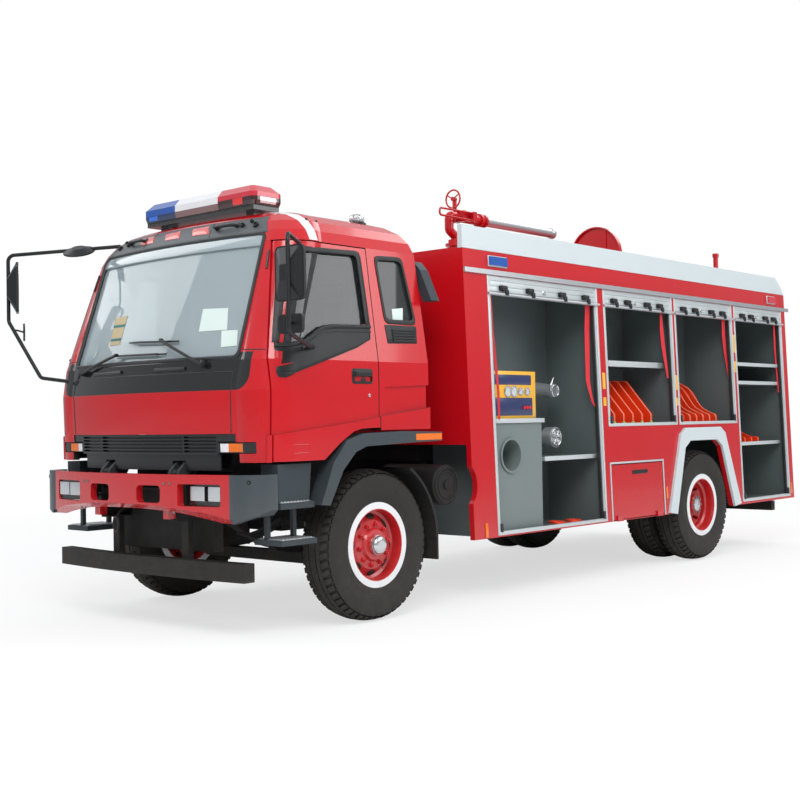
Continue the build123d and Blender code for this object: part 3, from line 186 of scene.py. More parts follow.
def make_surface_group():
    """Mottled colour, road dust that gathers low down, and a fine grain."""
    group, entry, leave = start_group(
        "surface",
        [("Colour", COLOUR, (0.5, 0.5, 0.5, 1)), ("Mottle", VALUE, 0.1),
         ("Mottle Scale", VALUE, 3.0), ("Dust", VALUE, 0.2),
         ("Dust Top", VALUE, 1.0), ("Grain Scale", VALUE, 300.0)],
        [("Colour", COLOUR), ("Dust", VALUE), ("Height", VALUE)])
    place, axes = object_axes(group)
    patches = noise(group, place, entry.outputs["Mottle Scale"], 5)
    dark = mix_colour(group, 0.55, entry.outputs["Colour"], (0, 0, 0))
    share = math_node(group, "MULTIPLY", patches, entry.outputs["Mottle"])
    mottled = mix_colour(group, share, entry.outputs["Colour"], dark)
    fall = math_node(group, "DIVIDE", axes[2], entry.outputs["Dust Top"])
    low = math_node(group, "SUBTRACT", 1.0, fall, clamp=True)
    specks = noise(group, place, 14.0, 8, 0.65)
    dust = math_node(group, "MULTIPLY", math_node(group, "MULTIPLY", low, specks), entry.outputs["Dust"], clamp=True)
    dusty = mix_colour(group, dust, mottled, (0.30, 0.26, 0.21))
    group.links.new(dusty, leave.inputs["Colour"])
    group.links.new(dust, leave.inputs["Dust"])
    group.links.new(noise(group, place, entry.outputs["Grain Scale"], 2), leave.inputs["Height"])
    return group


# Beyond any part of the truck
FAR_OFF = 9


def make_zone_group():
    """1 inside a box of Object coordinates, with left and right folded together if Fold is 1."""
    limits = [(f"{word} {axis}", VALUE, value)
              for axis in "XYZ" for word, value in (("From", -FAR_OFF), ("To", FAR_OFF))]
    group, entry, leave = start_group("zone", limits + [("Fold", VALUE, 1.0)],
                                      [("Mask", VALUE)])
    axes = object_axes(group)[1]
    folded = mix_value(group, entry.outputs["Fold"], axes[0], math_node(group, "ABSOLUTE", axes[0]))
    mask = None
    for axis, value in zip("XYZ", (folded, axes[1], axes[2])):
        above = math_node(group, "GREATER_THAN", value, entry.outputs[f"From {axis}"])
        below = math_node(group, "LESS_THAN", value, entry.outputs[f"To {axis}"])
        both = math_node(group, "MULTIPLY", above, below)
        mask = both if mask is None else math_node(group, "MULTIPLY", mask, both)
    group.links.new(mask, leave.inputs["Mask"])
    return group


def make_ring_group():
    """1 between two radii about an axle."""
    group, entry, leave = start_group(
        "ring", [("Y", VALUE, 0), ("Z", VALUE, TYRE_R), ("Inner", VALUE, 0),
                 ("Outer", VALUE, 1)], [("Mask", VALUE)])
    axes = object_axes(group)[1]
    along = math_node(group, "SUBTRACT", axes[1], entry.outputs["Y"])
    high = math_node(group, "SUBTRACT", axes[2], entry.outputs["Z"])
    reach = length_of(group, along, high)
    outside = math_node(group, "GREATER_THAN", reach, entry.outputs["Inner"])
    inside = math_node(group, "LESS_THAN", reach, entry.outputs["Outer"])
    group.links.new(math_node(group, "MULTIPLY", outside, inside), leave.inputs["Mask"])
    return group


def make_inside_group():
    """1 on faces that look towards a centre, such as the inside of the cab's walls."""
    group, entry, leave = start_group("inside", [("Centre", "NodeSocketVector", (0, 0, 0))],
                                      [("Mask", VALUE)])
    source = group.nodes.new("ShaderNodeTexCoord")
    away = vector_node(group, "SUBTRACT", source.outputs["Object"], entry.outputs["Centre"])
    facing = vector_node(group, "DOT_PRODUCT", source.outputs["Normal"], away)
    group.links.new(math_node(group, "LESS_THAN", facing, 0.0), leave.inputs["Mask"])
    return group


def make_lines_group():
    """Fine parallel lines across one direction: flutes of a lens, brushing or a weave's ribs."""
    group, entry, leave = start_group(
        "lines", [("Direction", "NodeSocketVector", (1, 0, 0)), ("Spacing", VALUE, 0.01)],
        [("Height", VALUE)])
    along = vector_node(group, "DOT_PRODUCT", object_axes(group)[0], entry.outputs["Direction"])
    turns = math_node(group, "DIVIDE", along, entry.outputs["Spacing"])
    wave = math_node(group, "SINE", math_node(group, "MULTIPLY", turns, 2 * pi))
    group.links.new(math_node(group, "MULTIPLY_ADD", wave, 0.5, 0.5), leave.inputs["Height"])
    return group


SURFACE = make_surface_group()
ZONE = make_zone_group()
RING = make_ring_group()
INSIDE = make_inside_group()
LINES = make_lines_group()


# Finishes


def place_group(tree, group, **values):
    """Put a shader group in a tree with its values."""
    node = tree.nodes.new("ShaderNodeGroup")
    node.node_tree = group
    set_inputs(node, **values)
    return node


def zone(**limits):
    """A mask for one box of the object, such as from_z=1.2, to_z=1.4."""
    names = {key.title(): value for key, value in limits.items()}
    return lambda tree: place_group(tree, ZONE, **names).outputs["Mask"]


def ring(y, inner, outer):
    """A mask between two radii about an axle."""
    return lambda tree: place_group(tree, RING, Y=y, Z=TYRE_R, Inner=inner, Outer=outer).outputs["Mask"]


def inside(centre):
    """A mask for the faces that look towards a centre."""
    return lambda tree: place_group(tree, INSIDE, Centre=centre).outputs["Mask"]


def start_material(name):
    """A new material, its tree and its shader."""
    material = bpy.data.materials.new(name)
    material.use_nodes = True
    return material, material.node_tree, material.node_tree.nodes["Principled BSDF"]


def make_finish(name, colour, roughness, metallic=0.0, coat=0.0, mottle=0.12, mottle_scale=3.0, dust=0.25,
                dust_top=1.1, grain=350.0, bump=0.06, zones=(), lines=None, specular=0.5):
    """One material: its mottled and dusty colour, the zones painted over it, and its grain."""
    material, tree, shader = start_material(name)
    set_inputs(shader, Coat_Weight=coat, Coat_Roughness=0.06, Specular_IOR_Level=specular)
    surface = place_group(tree, SURFACE, Mottle=mottle, Mottle_Scale=mottle_scale, Dust=dust, Dust_Top=dust_top,
                          Grain_Scale=grain)
    base, rough, metal = colour, roughness, metallic
    for mask, zone_colour, zone_roughness, zone_metallic in zones:
        factor = mask(tree)
        base = mix_colour(tree, factor, base, zone_colour)
        rough = mix_value(tree, factor, rough, zone_roughness)
        metal = mix_value(tree, factor, metal, zone_metallic)
    feed(tree, surface.inputs["Colour"], base)
    feed(tree, shader.inputs["Metallic"], metal)
    tree.links.new(surface.outputs["Colour"], shader.inputs["Base Color"])
    tree.links.new(mix_value(tree, surface.outputs["Dust"], rough, 0.9), shader.inputs["Roughness"])
    height = surface.outputs["Height"]
    relief = tree.nodes.new("ShaderNodeBump")
    set_inputs(relief, Strength=bump, Distance=0.002)
    if lines:
        direction, spacing = lines
        flutes = place_group(tree, LINES, Direction=direction, Spacing=spacing)
        height = math_node(tree, "ADD", height, flutes.outputs["Height"])
    tree.links.new(height, relief.inputs["Height"])
    tree.links.new(relief.outputs["Normal"], shader.inputs["Normal"])
    return material


def make_clear(name, colour, roughness=0.02, transmission=1.0, zones=()):
    """Glass or a clear lens, with a colour of its own in each zone."""
    material, tree, shader = start_material(name)
    set_inputs(shader, Transmission_Weight=transmission, IOR=1.45)
    surface = place_group(tree, SURFACE, Mottle=0.05, Dust=0.02, Dust_Top=3.0, Grain_Scale=90.0)
    base = colour
    for mask, zone_colour in zones:
        base = mix_colour(tree, mask(tree), base, zone_colour)
    feed(tree, surface.inputs["Colour"], base)
    tree.links.new(surface.outputs["Colour"], shader.inputs["Base Color"])
    tree.links.new(mix_value(tree, surface.outputs["Dust"], roughness, 0.6), shader.inputs["Roughness"])
    return material


RED = (0.50, 0.004, 0.009)
WHITE = (0.74, 0.75, 0.76)
PALE = (0.56, 0.62, 0.64)
BLACK = (0.012, 0.012, 0.013)
DARK_GREY = (0.026, 0.038, 0.046)
# Grey sheet of the lockers' insides, darkened below its own tone as painted shade
LOCKER_GREY_WITH_PAINTED_SHADE = (0.105, 0.128, 0.128)
TRIM_GREY = (0.022, 0.024, 0.026)
AMBER = (0.78, 0.16, 0.01)
BLUE = (0.006, 0.075, 0.36)
LAMP_RED = (0.55, 0.020, 0.040)
SILVER = (0.62, 0.64, 0.66)
REFLECTOR = (0.62, 0.65, 0.66)
CARD_GREEN = (0.03, 0.16, 0.16)

# Walls are lined in grey where they face the middle of the cab
CAB_LINING = (inside((0.0, -2.95, 1.95)), TRIM_GREY, 0.7, 0)
GLOSS = {"coat": 0.45, "bump": 0.02, "specular": 0.35}
CAB_GLOSS = {"mottle": 0.08, "dust": 0.12, **GLOSS}
red_paint = make_finish("red_paint", RED, 0.22, mottle=0.10, dust=0.10, **GLOSS)
cab_paint = make_finish("cab_paint", RED, 0.20, zones=[CAB_LINING], **CAB_GLOSS)


# The black band under the windscreen
BAND_HALF = 1.026
BAND_FOOT = 1.600
BAND_CORNER = 0.100


def lower_band(tree):
    """A mask for the black band under the windscreen, rounded at its lower corners."""
    axes = object_axes(tree)[1]
    out = math_node(tree, "SUBTRACT", math_node(tree, "ABSOLUTE", axes[0]), BAND_HALF - BAND_CORNER)
    down = math_node(tree, "SUBTRACT", BAND_FOOT + BAND_CORNER, axes[2])
    reach = length_of(tree, *[math_node(tree, "MAXIMUM", part, 0.0) for part in (out, down)])
    return math_node(tree, "MULTIPLY", math_node(tree, "LESS_THAN", reach, BAND_CORNER),
                     zone(to_y=-3.50, to_z=1.845)(tree))


front_paint = make_finish("front_paint", RED, 0.20, zones=[(lower_band, BLACK, 0.08, 0), CAB_LINING], **CAB_GLOSS)
roof_paint = make_finish(
    "roof_paint", RED, 0.24, mottle=0.10, dust=0.05, **GLOSS,
    zones=[(zone(from_x=0.70, from_y=-3.240, to_y=-3.165, from_z=2.598), WHITE, 0.4, 0), CAB_LINING])
board_paint = make_finish("board_paint", PALE, 0.35, coat=0.3, mottle=0.10, dust=0.1, bump=0.02)
chassis_black = make_finish("chassis_black", (0.010, 0.010, 0.011), 0.55, mottle=0.3, dust=0.18, dust_top=1.3,
                            grain=180, bump=0.25, specular=0.2)
engine_grey = make_finish("engine_grey", (0.020, 0.020, 0.022), 0.6, mottle=0.4, dust=0.2, grain=120, bump=0.4,
                          specular=0.2)
dark_plastic = make_finish("dark_plastic", DARK_GREY, 0.5, mottle=0.12, dust=0.15, dust_top=1.4, grain=900, bump=0.2,
                           specular=0.3)
black_plastic = make_finish("black_plastic", (0.010, 0.011, 0.012), 0.38, mottle=0.1, dust=0.1, grain=900, bump=0.12,
                            specular=0.35)
trim_plastic = make_finish("trim_plastic", TRIM_GREY, 0.65, mottle=0.15, dust=0.0, grain=900, bump=0.25)
bumper_paint = make_finish("bumper_paint", RED, 0.25, coat=0.6, dust=0.25, bump=0.02,
                           zones=[(zone(from_x=0.972), DARK_GREY, 0.5, 0), (zone(to_z=0.744), BLACK, 0.6, 0),
                                  (zone(from_y=-3.60), BLACK, 0.6, 0)])
# The bays' insides: grey sheet with painted shade, since the surround lights them evenly
locker_sheet = make_finish("locker_sheet", LOCKER_GREY_WITH_PAINTED_SHADE, 0.45, coat=0.1, mottle=0.25, mottle_scale=2.0, dust=0.05,
                           bump=0.04)
aluminium = make_finish("aluminium", SILVER, 0.32, metallic=0.85, mottle=0.15, dust=0.08, grain=260, bump=0.08)
steel = make_finish("steel", (0.16, 0.17, 0.18), 0.45, metallic=0.3, mottle=0.3, dust=0.2, bump=0.1)
tyre_rubber = make_finish("tyre_rubber", (0.017, 0.016, 0.015), 0.66, mottle=0.35, mottle_scale=9, dust=0.14,
                          dust_top=1.35, grain=420, bump=0.3, specular=0.25)
rack_plastic = make_finish("rack_plastic", (0.82, 0.045, 0.008), 0.36, mottle=0.10, dust=0.0, bump=0.05)
seat_cloth = make_finish("seat_cloth", (0.022, 0.022, 0.026), 0.9, mottle=0.3, mottle_scale=8, dust=0.0, bump=0.5,
                         lines=((0.7, 0.7, 0.7), 0.006))
front_rim_paint = make_finish(
    "front_rim_paint", RED, 0.28, coat=0.5, mottle=0.15, dust=0.2, bump=0.03,
    zones=[(ring(FRONT_AXLE_Y, 0.250, 0.4), WHITE, 0.4, 0), (ring(FRONT_AXLE_Y, 0.0, 0.070), SILVER, 0.25, 0.9)])
rear_rim_paint = make_finish(
    "rear_rim_paint", RED, 0.28, coat=0.5, mottle=0.15, dust=0.2, bump=0.03,
    zones=[(ring(REAR_AXLE_Y, 0.250, 0.4), WHITE, 0.4, 0)])
grille_plastic = make_finish(
    "grille_plastic", (0.014, 0.015, 0.017), 0.32, mottle=0.1, dust=0.1, bump=0.08,
    zones=[(zone(from_x=0.775, to_x=0.84, to_y=-3.5, from_z=1.20, to_z=1.254), WHITE, 0.15, 0),
           (zone(from_x=0.84, to_x=0.96, to_y=-3.5, from_z=1.20, to_z=1.254), AMBER, 0.15, 0)])
bar_lens = make_finish(
    "bar_lens", LAMP_RED, 0.12, coat=0.8, mottle=0.15, dust=0.0, grain=120, bump=0.03,
    zones=[(zone(fold=0, from_x=-0.24, to_x=0.24), WHITE, 0.15, 0), (zone(fold=0, to_x=-0.24), BLUE, 0.15, 0),
           (zone(fold=0, from_x=0.24, to_z=2.952), (0.035, 0.006, 0.008), 0.12, 0),
           (zone(fold=0, from_x=-0.24, to_x=0.24, to_z=2.940), (0.20, 0.11, 0.11), 0.15, 0),
           (zone(fold=0, to_x=-0.24, to_z=2.940), (0.004, 0.020, 0.10), 0.12, 0),
           (zone(fold=0, from_x=0.40, to_x=0.50, from_z=2.905, to_z=2.950), (0.75, 0.02, 0.015), 0.1, 0),
           (zone(fold=0, from_x=-0.55, to_x=-0.45, from_z=2.905, to_z=2.935), (0.01, 0.16, 0.75), 0.1, 0),
           (zone(fold=0, from_x=0.585, from_y=-3.235, to_y=-3.09, from_z=2.908, to_z=2.948), WHITE, 0.1, 0.6),
           (zone(to_z=2.896), BLACK, 0.4, 0)])
side_lamp = make_finish(
    "side_lamp", LAMP_RED, 0.15, coat=0.6, dust=0.0, bump=0.03,
    zones=[(zone(to_y=0), BLUE, 0.15, 0), (zone(from_y=3.9, to_z=0.95), (0.5, 0.02, 0.01), 0.2, 0)])
flare_plastic = make_finish(
    "flare_plastic", DARK_GREY, 0.5, mottle=0.12, dust=0.15, dust_top=1.4, grain=900, bump=0.2,
    zones=[(zone(from_x=1.20, from_y=-2.345, from_z=1.245, to_z=1.290), AMBER, 0.25, 0)])
lamp_body = make_finish(
    "lamp_body", (0.012, 0.012, 0.014), 0.2, coat=0.4, dust=0.05, grain=60, bump=0.12, lines=((1, 0, 0), 0.016),
    zones=[(zone(from_x=0.614, to_x=0.753, to_y=-3.858, from_z=0.861, to_z=0.990), REFLECTOR, 0.12, 0.55),
           (zone(from_x=0.779, to_x=0.895, to_y=-3.858, from_z=0.861, to_z=0.990), REFLECTOR, 0.12, 0.55)])
# The windscreen's glass, ahead of y -3.20, gets a pale colour of its own: a painted reflection of the bright surround.
# The side windows stay dark.
cab_windows = make_clear("cab_windows", (0.06, 0.07, 0.07), transmission=0.6,
                         zones=[(zone(to_y=-3.20), (0.60, 0.70, 0.73))])
door_window = make_clear("door_window", (0.30, 0.32, 0.33), transmission=0.95)
cabinet_sheet = make_finish("cabinet_sheet", (0.16, 0.195, 0.19), 0.45, coat=0.1, mottle=0.25, mottle_scale=2.0,
                            dust=0.05, bump=0.04,
                            zones=[(zone(from_y=-0.42), SILVER, 0.3, 0.7)])
barrel_metal = make_finish("barrel_metal", SILVER, 0.28, metallic=0.85, mottle=0.15, dust=0.05, bump=0.05,
                           zones=[(zone(to_y=0.092), RED, 0.25, 0)])

# The finish of every solid
DRESS = {
    red_paint: "body_side_left body_side_right body_ends roof_deck drop_door_left drop_door_right monitor_turret "
               "tank_lid",
    cab_paint: "cab_rear cab_door_left cab_door_right",
    front_paint: "cab_front",
    roof_paint: "cab_roof",
    board_paint: "roof_boards arch_trims",
    # The water tank, seen in the gap between cab and body, wears chassis black as painted shade
    chassis_black: "mudguards water_tank frame_rails underrun_bar front_axle rear_axle leaf_springs knuckle_left "
                   "knuckle_right side_tanks",
    engine_grey: "engine_block",
    dark_plastic: "entry_steps snorkel",
    flare_plastic: "arch_flares",
    black_plastic: "mirror_left mirror_right",
    trim_plastic: "cab_floor dashboard",
    bumper_paint: "front_bumper",
    locker_sheet: "pump_bay middle_bays rear_bay",
    cabinet_sheet: "pump_cabinets",
    aluminium: "drip_rails roller_shutters rear_ladder",
    barrel_metal: "monitor_barrel",
    tyre_rubber: "front_tyre_left front_tyre_right rear_tyres_left rear_tyres_right",
    rack_plastic: "hose_racks",
    seat_cloth: "seats",
    front_rim_paint: "front_rim_left front_rim_right",
    rear_rim_paint: "rear_rims_left rear_rims_right",
    grille_plastic: "grille",
    bar_lens: "light_bar",
    side_lamp: "body_lamps",
    lamp_body: "headlamps",
    cab_windows: "cab_glass",
    door_window: "door_glass_left door_glass_right",
}


def dress_solids():
    """Give every solid its finish."""
    for material, names in DRESS.items():
        for name in names.split():
            mesh = nodes[name].data
            mesh.materials.clear()
            mesh.materials.append(material)


# Ground, backdrop and lamps

GROUND_SIZE = 60
# Where the floor starts to fade to white, over what width, and how much it glows before that
FADE_START = 5.0
FADE_WIDTH = 6.0
FLOOR_GLOW = 0.65
# Lamps: place, size and watts
LAMPS = [((7, -9, 9), 6, 900), ((10, 4, 7), 7, 500), ((-8, -6, 8), 6, 250), ((0, 8, 9), 6, 250)]


def seen_directly(tree):
    """1 for rays from the camera, and for those that pass through glass."""
    rays = tree.nodes.new("ShaderNodeLightPath").outputs
    return math_node(tree, "MAXIMUM", rays["Is Camera Ray"], rays["Is Transmission Ray"])


def mix_shaders(tree, factor, first, second, output):
    """Send a mix of two shaders to the tree's output."""
    node = tree.nodes.new("ShaderNodeMixShader")
    for socket, value in zip(node.inputs, (factor, first.outputs[0], second.outputs[0])):
        tree.links.new(value, socket)
    tree.links.new(node.outputs[0], tree.nodes[output].inputs["Surface"])


def add_studio():
    """A pale floor that fades into a white surround, and soft lamps."""
    bpy.ops.mesh.primitive_plane_add(size=GROUND_SIZE, location=(0, 0, 0))
    floor = bpy.context.object
    floor.name = "floor"
    material, tree, shader = start_material("floor")
    set_inputs(shader, Roughness=0.95, Specular_IOR_Level=0.1, Base_Color=(0.86, 0.86, 0.86, 1))
    glow = tree.nodes.new("ShaderNodeEmission")
    set_inputs(glow, Color=(1, 1, 1, 1))
    axes = object_axes(tree)[1]
    reach = length_of(tree, axes[0], axes[1])
    far = math_node(tree, "DIVIDE", math_node(tree, "SUBTRACT", reach, FADE_START), FADE_WIDTH, clamp=True)
    share = math_node(tree, "MULTIPLY_ADD", far, 1 - FLOOR_GLOW, FLOOR_GLOW)
    mix_shaders(tree, math_node(tree, "MULTIPLY", share, seen_directly(tree)), shader, glow, "Material Output")
    floor.data.materials.append(material)
    world = bpy.data.worlds.new("surround")
    world.use_nodes = True
    bpy.context.scene.world = world
    tree = world.node_tree
    soft = tree.nodes["Background"]
    set_inputs(soft, Strength=0.8)
    heading = tree.nodes.new("ShaderNodeSeparateXYZ")
    tree.links.new(tree.nodes.new("ShaderNodeTexCoord").outputs["Generated"], heading.inputs[0])
    height = math_node(tree, "MULTIPLY", heading.outputs[2], 1.6, clamp=True)
    tree.links.new(mix_colour(tree, height, (0.36, 0.38, 0.40), (0.93, 0.96, 1.0)), soft.inputs["Color"])
    white = tree.nodes.new("ShaderNodeBackground")
    set_inputs(white, Color=(1, 1, 1, 1), Strength=1.0)
    mix_shaders(tree, seen_directly(tree), soft, white, "World Output")
    for place, size, watts in LAMPS:
        bpy.ops.object.light_add(type="AREA", location=place)
        lamp = bpy.context.object
        lamp.data.size = size
        lamp.data.energy = watts
        lamp.rotation_euler = (Vector((0, 0, 1.5)) - Vector(place)).to_track_quat("-Z", "Y").to_euler()


# Modelling helpers


def select_only(*pieces):
    """Select these pieces and nothing else; the last is the active one."""
    bpy.ops.object.select_all(action="DESELECT")
    for piece in pieces:
        piece.select_set(True)
    bpy.context.view_layer.objects.active = pieces[-1]


def apply_place(piece):
    """Put a piece's place, turn and scale into its mesh."""
    select_only(piece)
    bpy.ops.object.transform_apply(location=True, rotation=True, scale=True)


def use_modifier(piece, kind, **settings):
    """Give a piece one modifier and apply it."""
    modifier = piece.modifiers.new(kind.lower(), kind)
    for key, value in settings.items():
        setattr(modifier, key, value)
    select_only(piece)
    bpy.ops.object.modifier_apply(modifier=modifier.name)


def edit_all(piece, *steps):
    """Run edit-mode steps, each an operator and its settings, on the whole of a piece."""
    select_only(piece)
    bpy.ops.object.mode_set(mode="EDIT")
    bpy.ops.mesh.select_all(action="SELECT")
    for step, settings in steps:
        step(**settings)
    bpy.ops.object.mode_set(mode="OBJECT")


def close_up(piece):
    """Merge doubled points and turn all faces outwards."""
    edit_all(piece, (bpy.ops.mesh.remove_doubles, {"threshold": 0.00002}),
             (bpy.ops.mesh.normals_make_consistent, {"inside": False}))


def sink_faces(piece, direction, margin, depth):
    """Inset the faces that look one way, and sink what is inside."""
    bpy.context.tool_settings.mesh_select_mode = (False, False, True)
    select_only(piece)
    bpy.ops.object.mode_set(mode="EDIT")
    bpy.ops.mesh.select_all(action="DESELECT")
    bpy.ops.object.mode_set(mode="OBJECT")
    for face in piece.data.polygons:
        face.select = face.normal.dot(Vector(direction)) > 0.95
    bpy.ops.object.mode_set(mode="EDIT")
    bpy.ops.mesh.inset(thickness=margin)
    bpy.ops.mesh.inset(thickness=0.001, depth=-depth)
    bpy.ops.object.mode_set(mode="OBJECT")
    bpy.context.tool_settings.mesh_select_mode = (True, False, False)


def add_block(low, high, edge=0.002, segments=2):
    """A block between two corners, with softened edges."""
    low, high = Vector(low), Vector(high)
    bpy.ops.mesh.primitive_cube_add(size=1, location=(low + high) / 2, scale=high - low)
    piece = bpy.context.object
    apply_place(piece)
    edit_all(piece, (bpy.ops.mesh.bevel, {"offset": edge, "segments": segments, "affect": "EDGES"}))
    return piece


def add_disc(centre, facing, radius, height, edge=0.002, sides=32, dish=0.0):
    """A round disc, its middle sunk if it is dished, standing on a centre and facing one way."""
    facing = Vector(facing).normalized()
    bpy.ops.mesh.primitive_cylinder_add(vertices=sides, radius=radius, depth=height)
    piece = bpy.context.object
    edit_all(piece, (bpy.ops.mesh.bevel, {"offset": edge, "segments": 2, "affect": "EDGES"}))
    if dish:
        sink_faces(piece, (0, 0, 1), radius * 0.22, dish)
    piece.matrix_world = Matrix.Translation(Vector(centre) + facing * height / 2) @ turn_to(facing)
    apply_place(piece)
    return piece


def add_ring(centre, facing, radius, thick, sides=40):
    """A round ring about a centre, facing one way."""
    bpy.ops.mesh.primitive_torus_add(major_radius=radius, minor_radius=thick, major_segments=sides, minor_segments=10)
    piece = bpy.context.object
    piece.matrix_world = Matrix.Translation(centre) @ turn_to(Vector(facing))
    apply_place(piece)
    return piece


def start_line(points, kind="POLY"):
    """A curve through points, with its one run."""
    bpy.ops.curve.primitive_nurbs_path_add(location=(0, 0, 0))
    line = bpy.context.object
    line.data.splines.clear()
    run = line.data.splines.new(kind)
    run.points.add(len(points) - 1)
    for place, point in zip(points, run.points):
        point.co = (*place, 1)
    return line, run


def line_mesh(line):
    """A curve made a mesh."""
    select_only(line)
    bpy.ops.object.convert(target="MESH")
    return bpy.context.object


def add_rod(points, radius, closed=False, curved=False):
    """A round rod along points, which it passes through or, if curved, swings past."""
    line, run = start_line(points, "NURBS" if curved else "POLY")
    if curved:
        run.order_u = 3
        run.use_endpoint_u = True
        run.resolution_u = 8
    run.use_cyclic_u = closed
    line.data.bevel_depth = radius
    line.data.bevel_resolution = 2
    line.data.use_fill_caps = not closed
    piece = line_mesh(line)
    close_up(piece)
    return piece


def add_turned(profile, centre, steps=96):
    """A shape turned about an axle across the truck, from points of (distance out along the axle, radius)."""
    line, run = start_line([(out, 0, radius) for out, radius in profile])
    run.use_cyclic_u = profile[0][1] > 0.001
    piece = line_mesh(line)
    use_modifier(piece, "SCREW", axis="X", steps=steps, render_steps=steps, use_merge_vertices=True)
    close_up(piece)
    piece.location = centre
    apply_place(piece)
    return piece


def add_sheet(one, other, thick, rows=1, edge=0.0015):
    """A thin plate between two rows of points, with softened edges."""
    last = len(one) - 1
    bpy.ops.mesh.primitive_grid_add(x_subdivisions=last, y_subdivisions=rows, size=1, location=(0, 0, 0))
    piece = bpy.context.object
    for vertex in piece.data.vertices:
        i = round((vertex.co.x + 0.5) * last)
        vertex.co = Vector(one[i]).lerp(Vector(other[i]), vertex.co.y + 0.5)
    return thicken(piece, thick, edge)


def add_patch(surface, corners, proud, thick, columns=8, rows=4, edge=0.0015):
    """A thin plate that follows a surface, between four corners given on that surface."""
    bpy.ops.mesh.primitive_grid_add(x_subdivisions=columns, y_subdivisions=rows, size=1, location=(0, 0, 0))
    piece = bpy.context.object
    low_one, low_two, high_two, high_one = (Vector((*corner, 0)) for corner in corners)
    for vertex in piece.data.vertices:
        across, up = vertex.co.x + 0.5, vertex.co.y + 0.5
        flat = low_one.lerp(low_two, across).lerp(high_one.lerp(high_two, across), up)
        vertex.co = surface(flat.x, flat.y, proud)
    return thicken(piece, thick, edge)


def thicken(piece, thick, edge):
    """Give a sheet its thickness, behind its face, and soften its edges."""
    use_modifier(piece, "SOLIDIFY", thickness=thick, offset=-1)
    if edge:
        use_modifier(piece, "BEVEL", width=edge, segments=2, limit_method="ANGLE", angle_limit=radians(50))
    close_up(piece)
    return piece


def join(pieces):
    """Several pieces as one."""
    select_only(*pieces)
    bpy.ops.object.join()
    return bpy.context.object


def copy_piece(piece, move=(0, 0, 0), turn=None):
    """A copy with its own mesh, moved or turned."""
    select_only(piece)
    bpy.ops.object.duplicate()
    other = bpy.context.object
    other.matrix_world = Matrix.Translation(move) @ (turn or Matrix.Identity(4))
    apply_place(other)
    return other


def add_twin(piece):
    """A mirrored copy on the truck's other side."""
    select_only(piece)
    bpy.ops.object.duplicate()
    twin = bpy.context.object
    twin.scale.x = -1
    apply_place(twin)
    close_up(twin)
    return twin


def finish_piece(piece, name, finish, body, smooth=35):
    """Name a piece, or several joined, give it its finish, and let it ride on a body."""
    if isinstance(piece, list):
        piece = join(piece)
    piece.name = name
    piece.data.name = name
    piece.data.materials.clear()
    piece.data.materials.append(finish)
    apply_place(piece)
    bpy.ops.object.shade_smooth_by_angle(angle=radians(smooth))
    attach(piece, body)
    return piece


def finish_pair(piece, name, finish, bodies):
    """Finish a left-hand piece, or several joined, and its mirrored twin, on one body or on a body each."""
    if isinstance(piece, list):
        piece = join(piece)
    twin = add_twin(piece)
    left, right = bodies if isinstance(bodies, tuple) else (bodies, bodies)
    finish_piece(piece, f"{name}_left", finish, left)
    finish_piece(twin, f"{name}_right", finish, right)


# Surfaces that pieces are laid on

# The cab's outlines: height, front middle, bow end (x, y), corner middle (x, y), side start (x, y)
CAB_OUTLINES = [
    (1.050, -3.830, (0.930, -3.722), (1.122, -3.664), (1.196, -3.470)),
    (1.596, -3.850, (0.918, -3.746), (1.124, -3.680), (1.204, -3.480)),
    (1.795, -3.815, (0.932, -3.708), (1.122, -3.650), (1.202, -3.460)),
    (2.592, -3.537, (0.905, -3.449), (1.024, -3.392), (1.092, -3.120)),
    (2.670, -3.495, (0.884, -3.410), (0.992, -3.357), (1.058, -3.095)),
    (2.740, -3.440, (0.848, -3.357), (0.938, -3.308), (1.000, -3.060)),
    (2.792, -3.374, (0.788, -3.298), (0.864, -3.254), (0.914, -3.030)),
    (2.826, -3.290, (0.700, -3.228), (0.764, -3.190), (0.800, -2.990)),
]
BODY_HALF = 1.245
BODY_FOOT = 0.482
BODY_SLOPE = 0.0346


def outline_at(z):
    """The cab's outline at a height."""
    for low, high in zip(CAB_OUTLINES, CAB_OUTLINES[1:]):
        if z <= high[0]:
            break
    share = (z - low[0]) / (high[0] - low[0])
    middle = low[1] + (high[1] - low[1]) * share
    return middle, *[Vector(low[i]).lerp(Vector(high[i]), share) for i in (2, 3, 4)]


def circle_through(a, b, c):
    """The middle and radius of the circle through three points."""
    double = 2 * (a.x * (b.y - c.y) + b.x * (c.y - a.y) + c.x * (a.y - b.y))
    x = (a.dot(a) * (b.y - c.y) + b.dot(b) * (c.y - a.y) + c.dot(c) * (a.y - b.y)) / double
    y = (a.dot(a) * (c.x - b.x) + b.dot(b) * (a.x - c.x) + c.dot(c) * (b.x - a.x)) / double
    return x, y, (a - Vector((x, y))).length


def on_front(x, z, proud=0.0):
    """A point on the cab's bowed front."""
    middle, bow, corner, side = outline_at(z)
    if abs(x) <= bow.x:
        mid_x, mid_y, radius = circle_through(Vector((-bow.x, bow.y)), Vector((0, middle)), bow)
    else:
        mid_x, mid_y, radius = circle_through(bow, corner, side)
    y = mid_y - sqrt(max(radius ** 2 - (abs(x) - mid_x) ** 2, 0))
    return Vector((x, y - proud, z))


def on_side(y, z, proud=0.0):
    """A point on the cab's left side."""
    middle, bow, corner, side = outline_at(z)
    x = side.x
    if y < side.y:
        mid_x, mid_y, radius = circle_through(bow, corner, side)
        x = mid_x + sqrt(max(radius ** 2 - (y - mid_y) ** 2, 0))
    return Vector((x + proud, y, z))


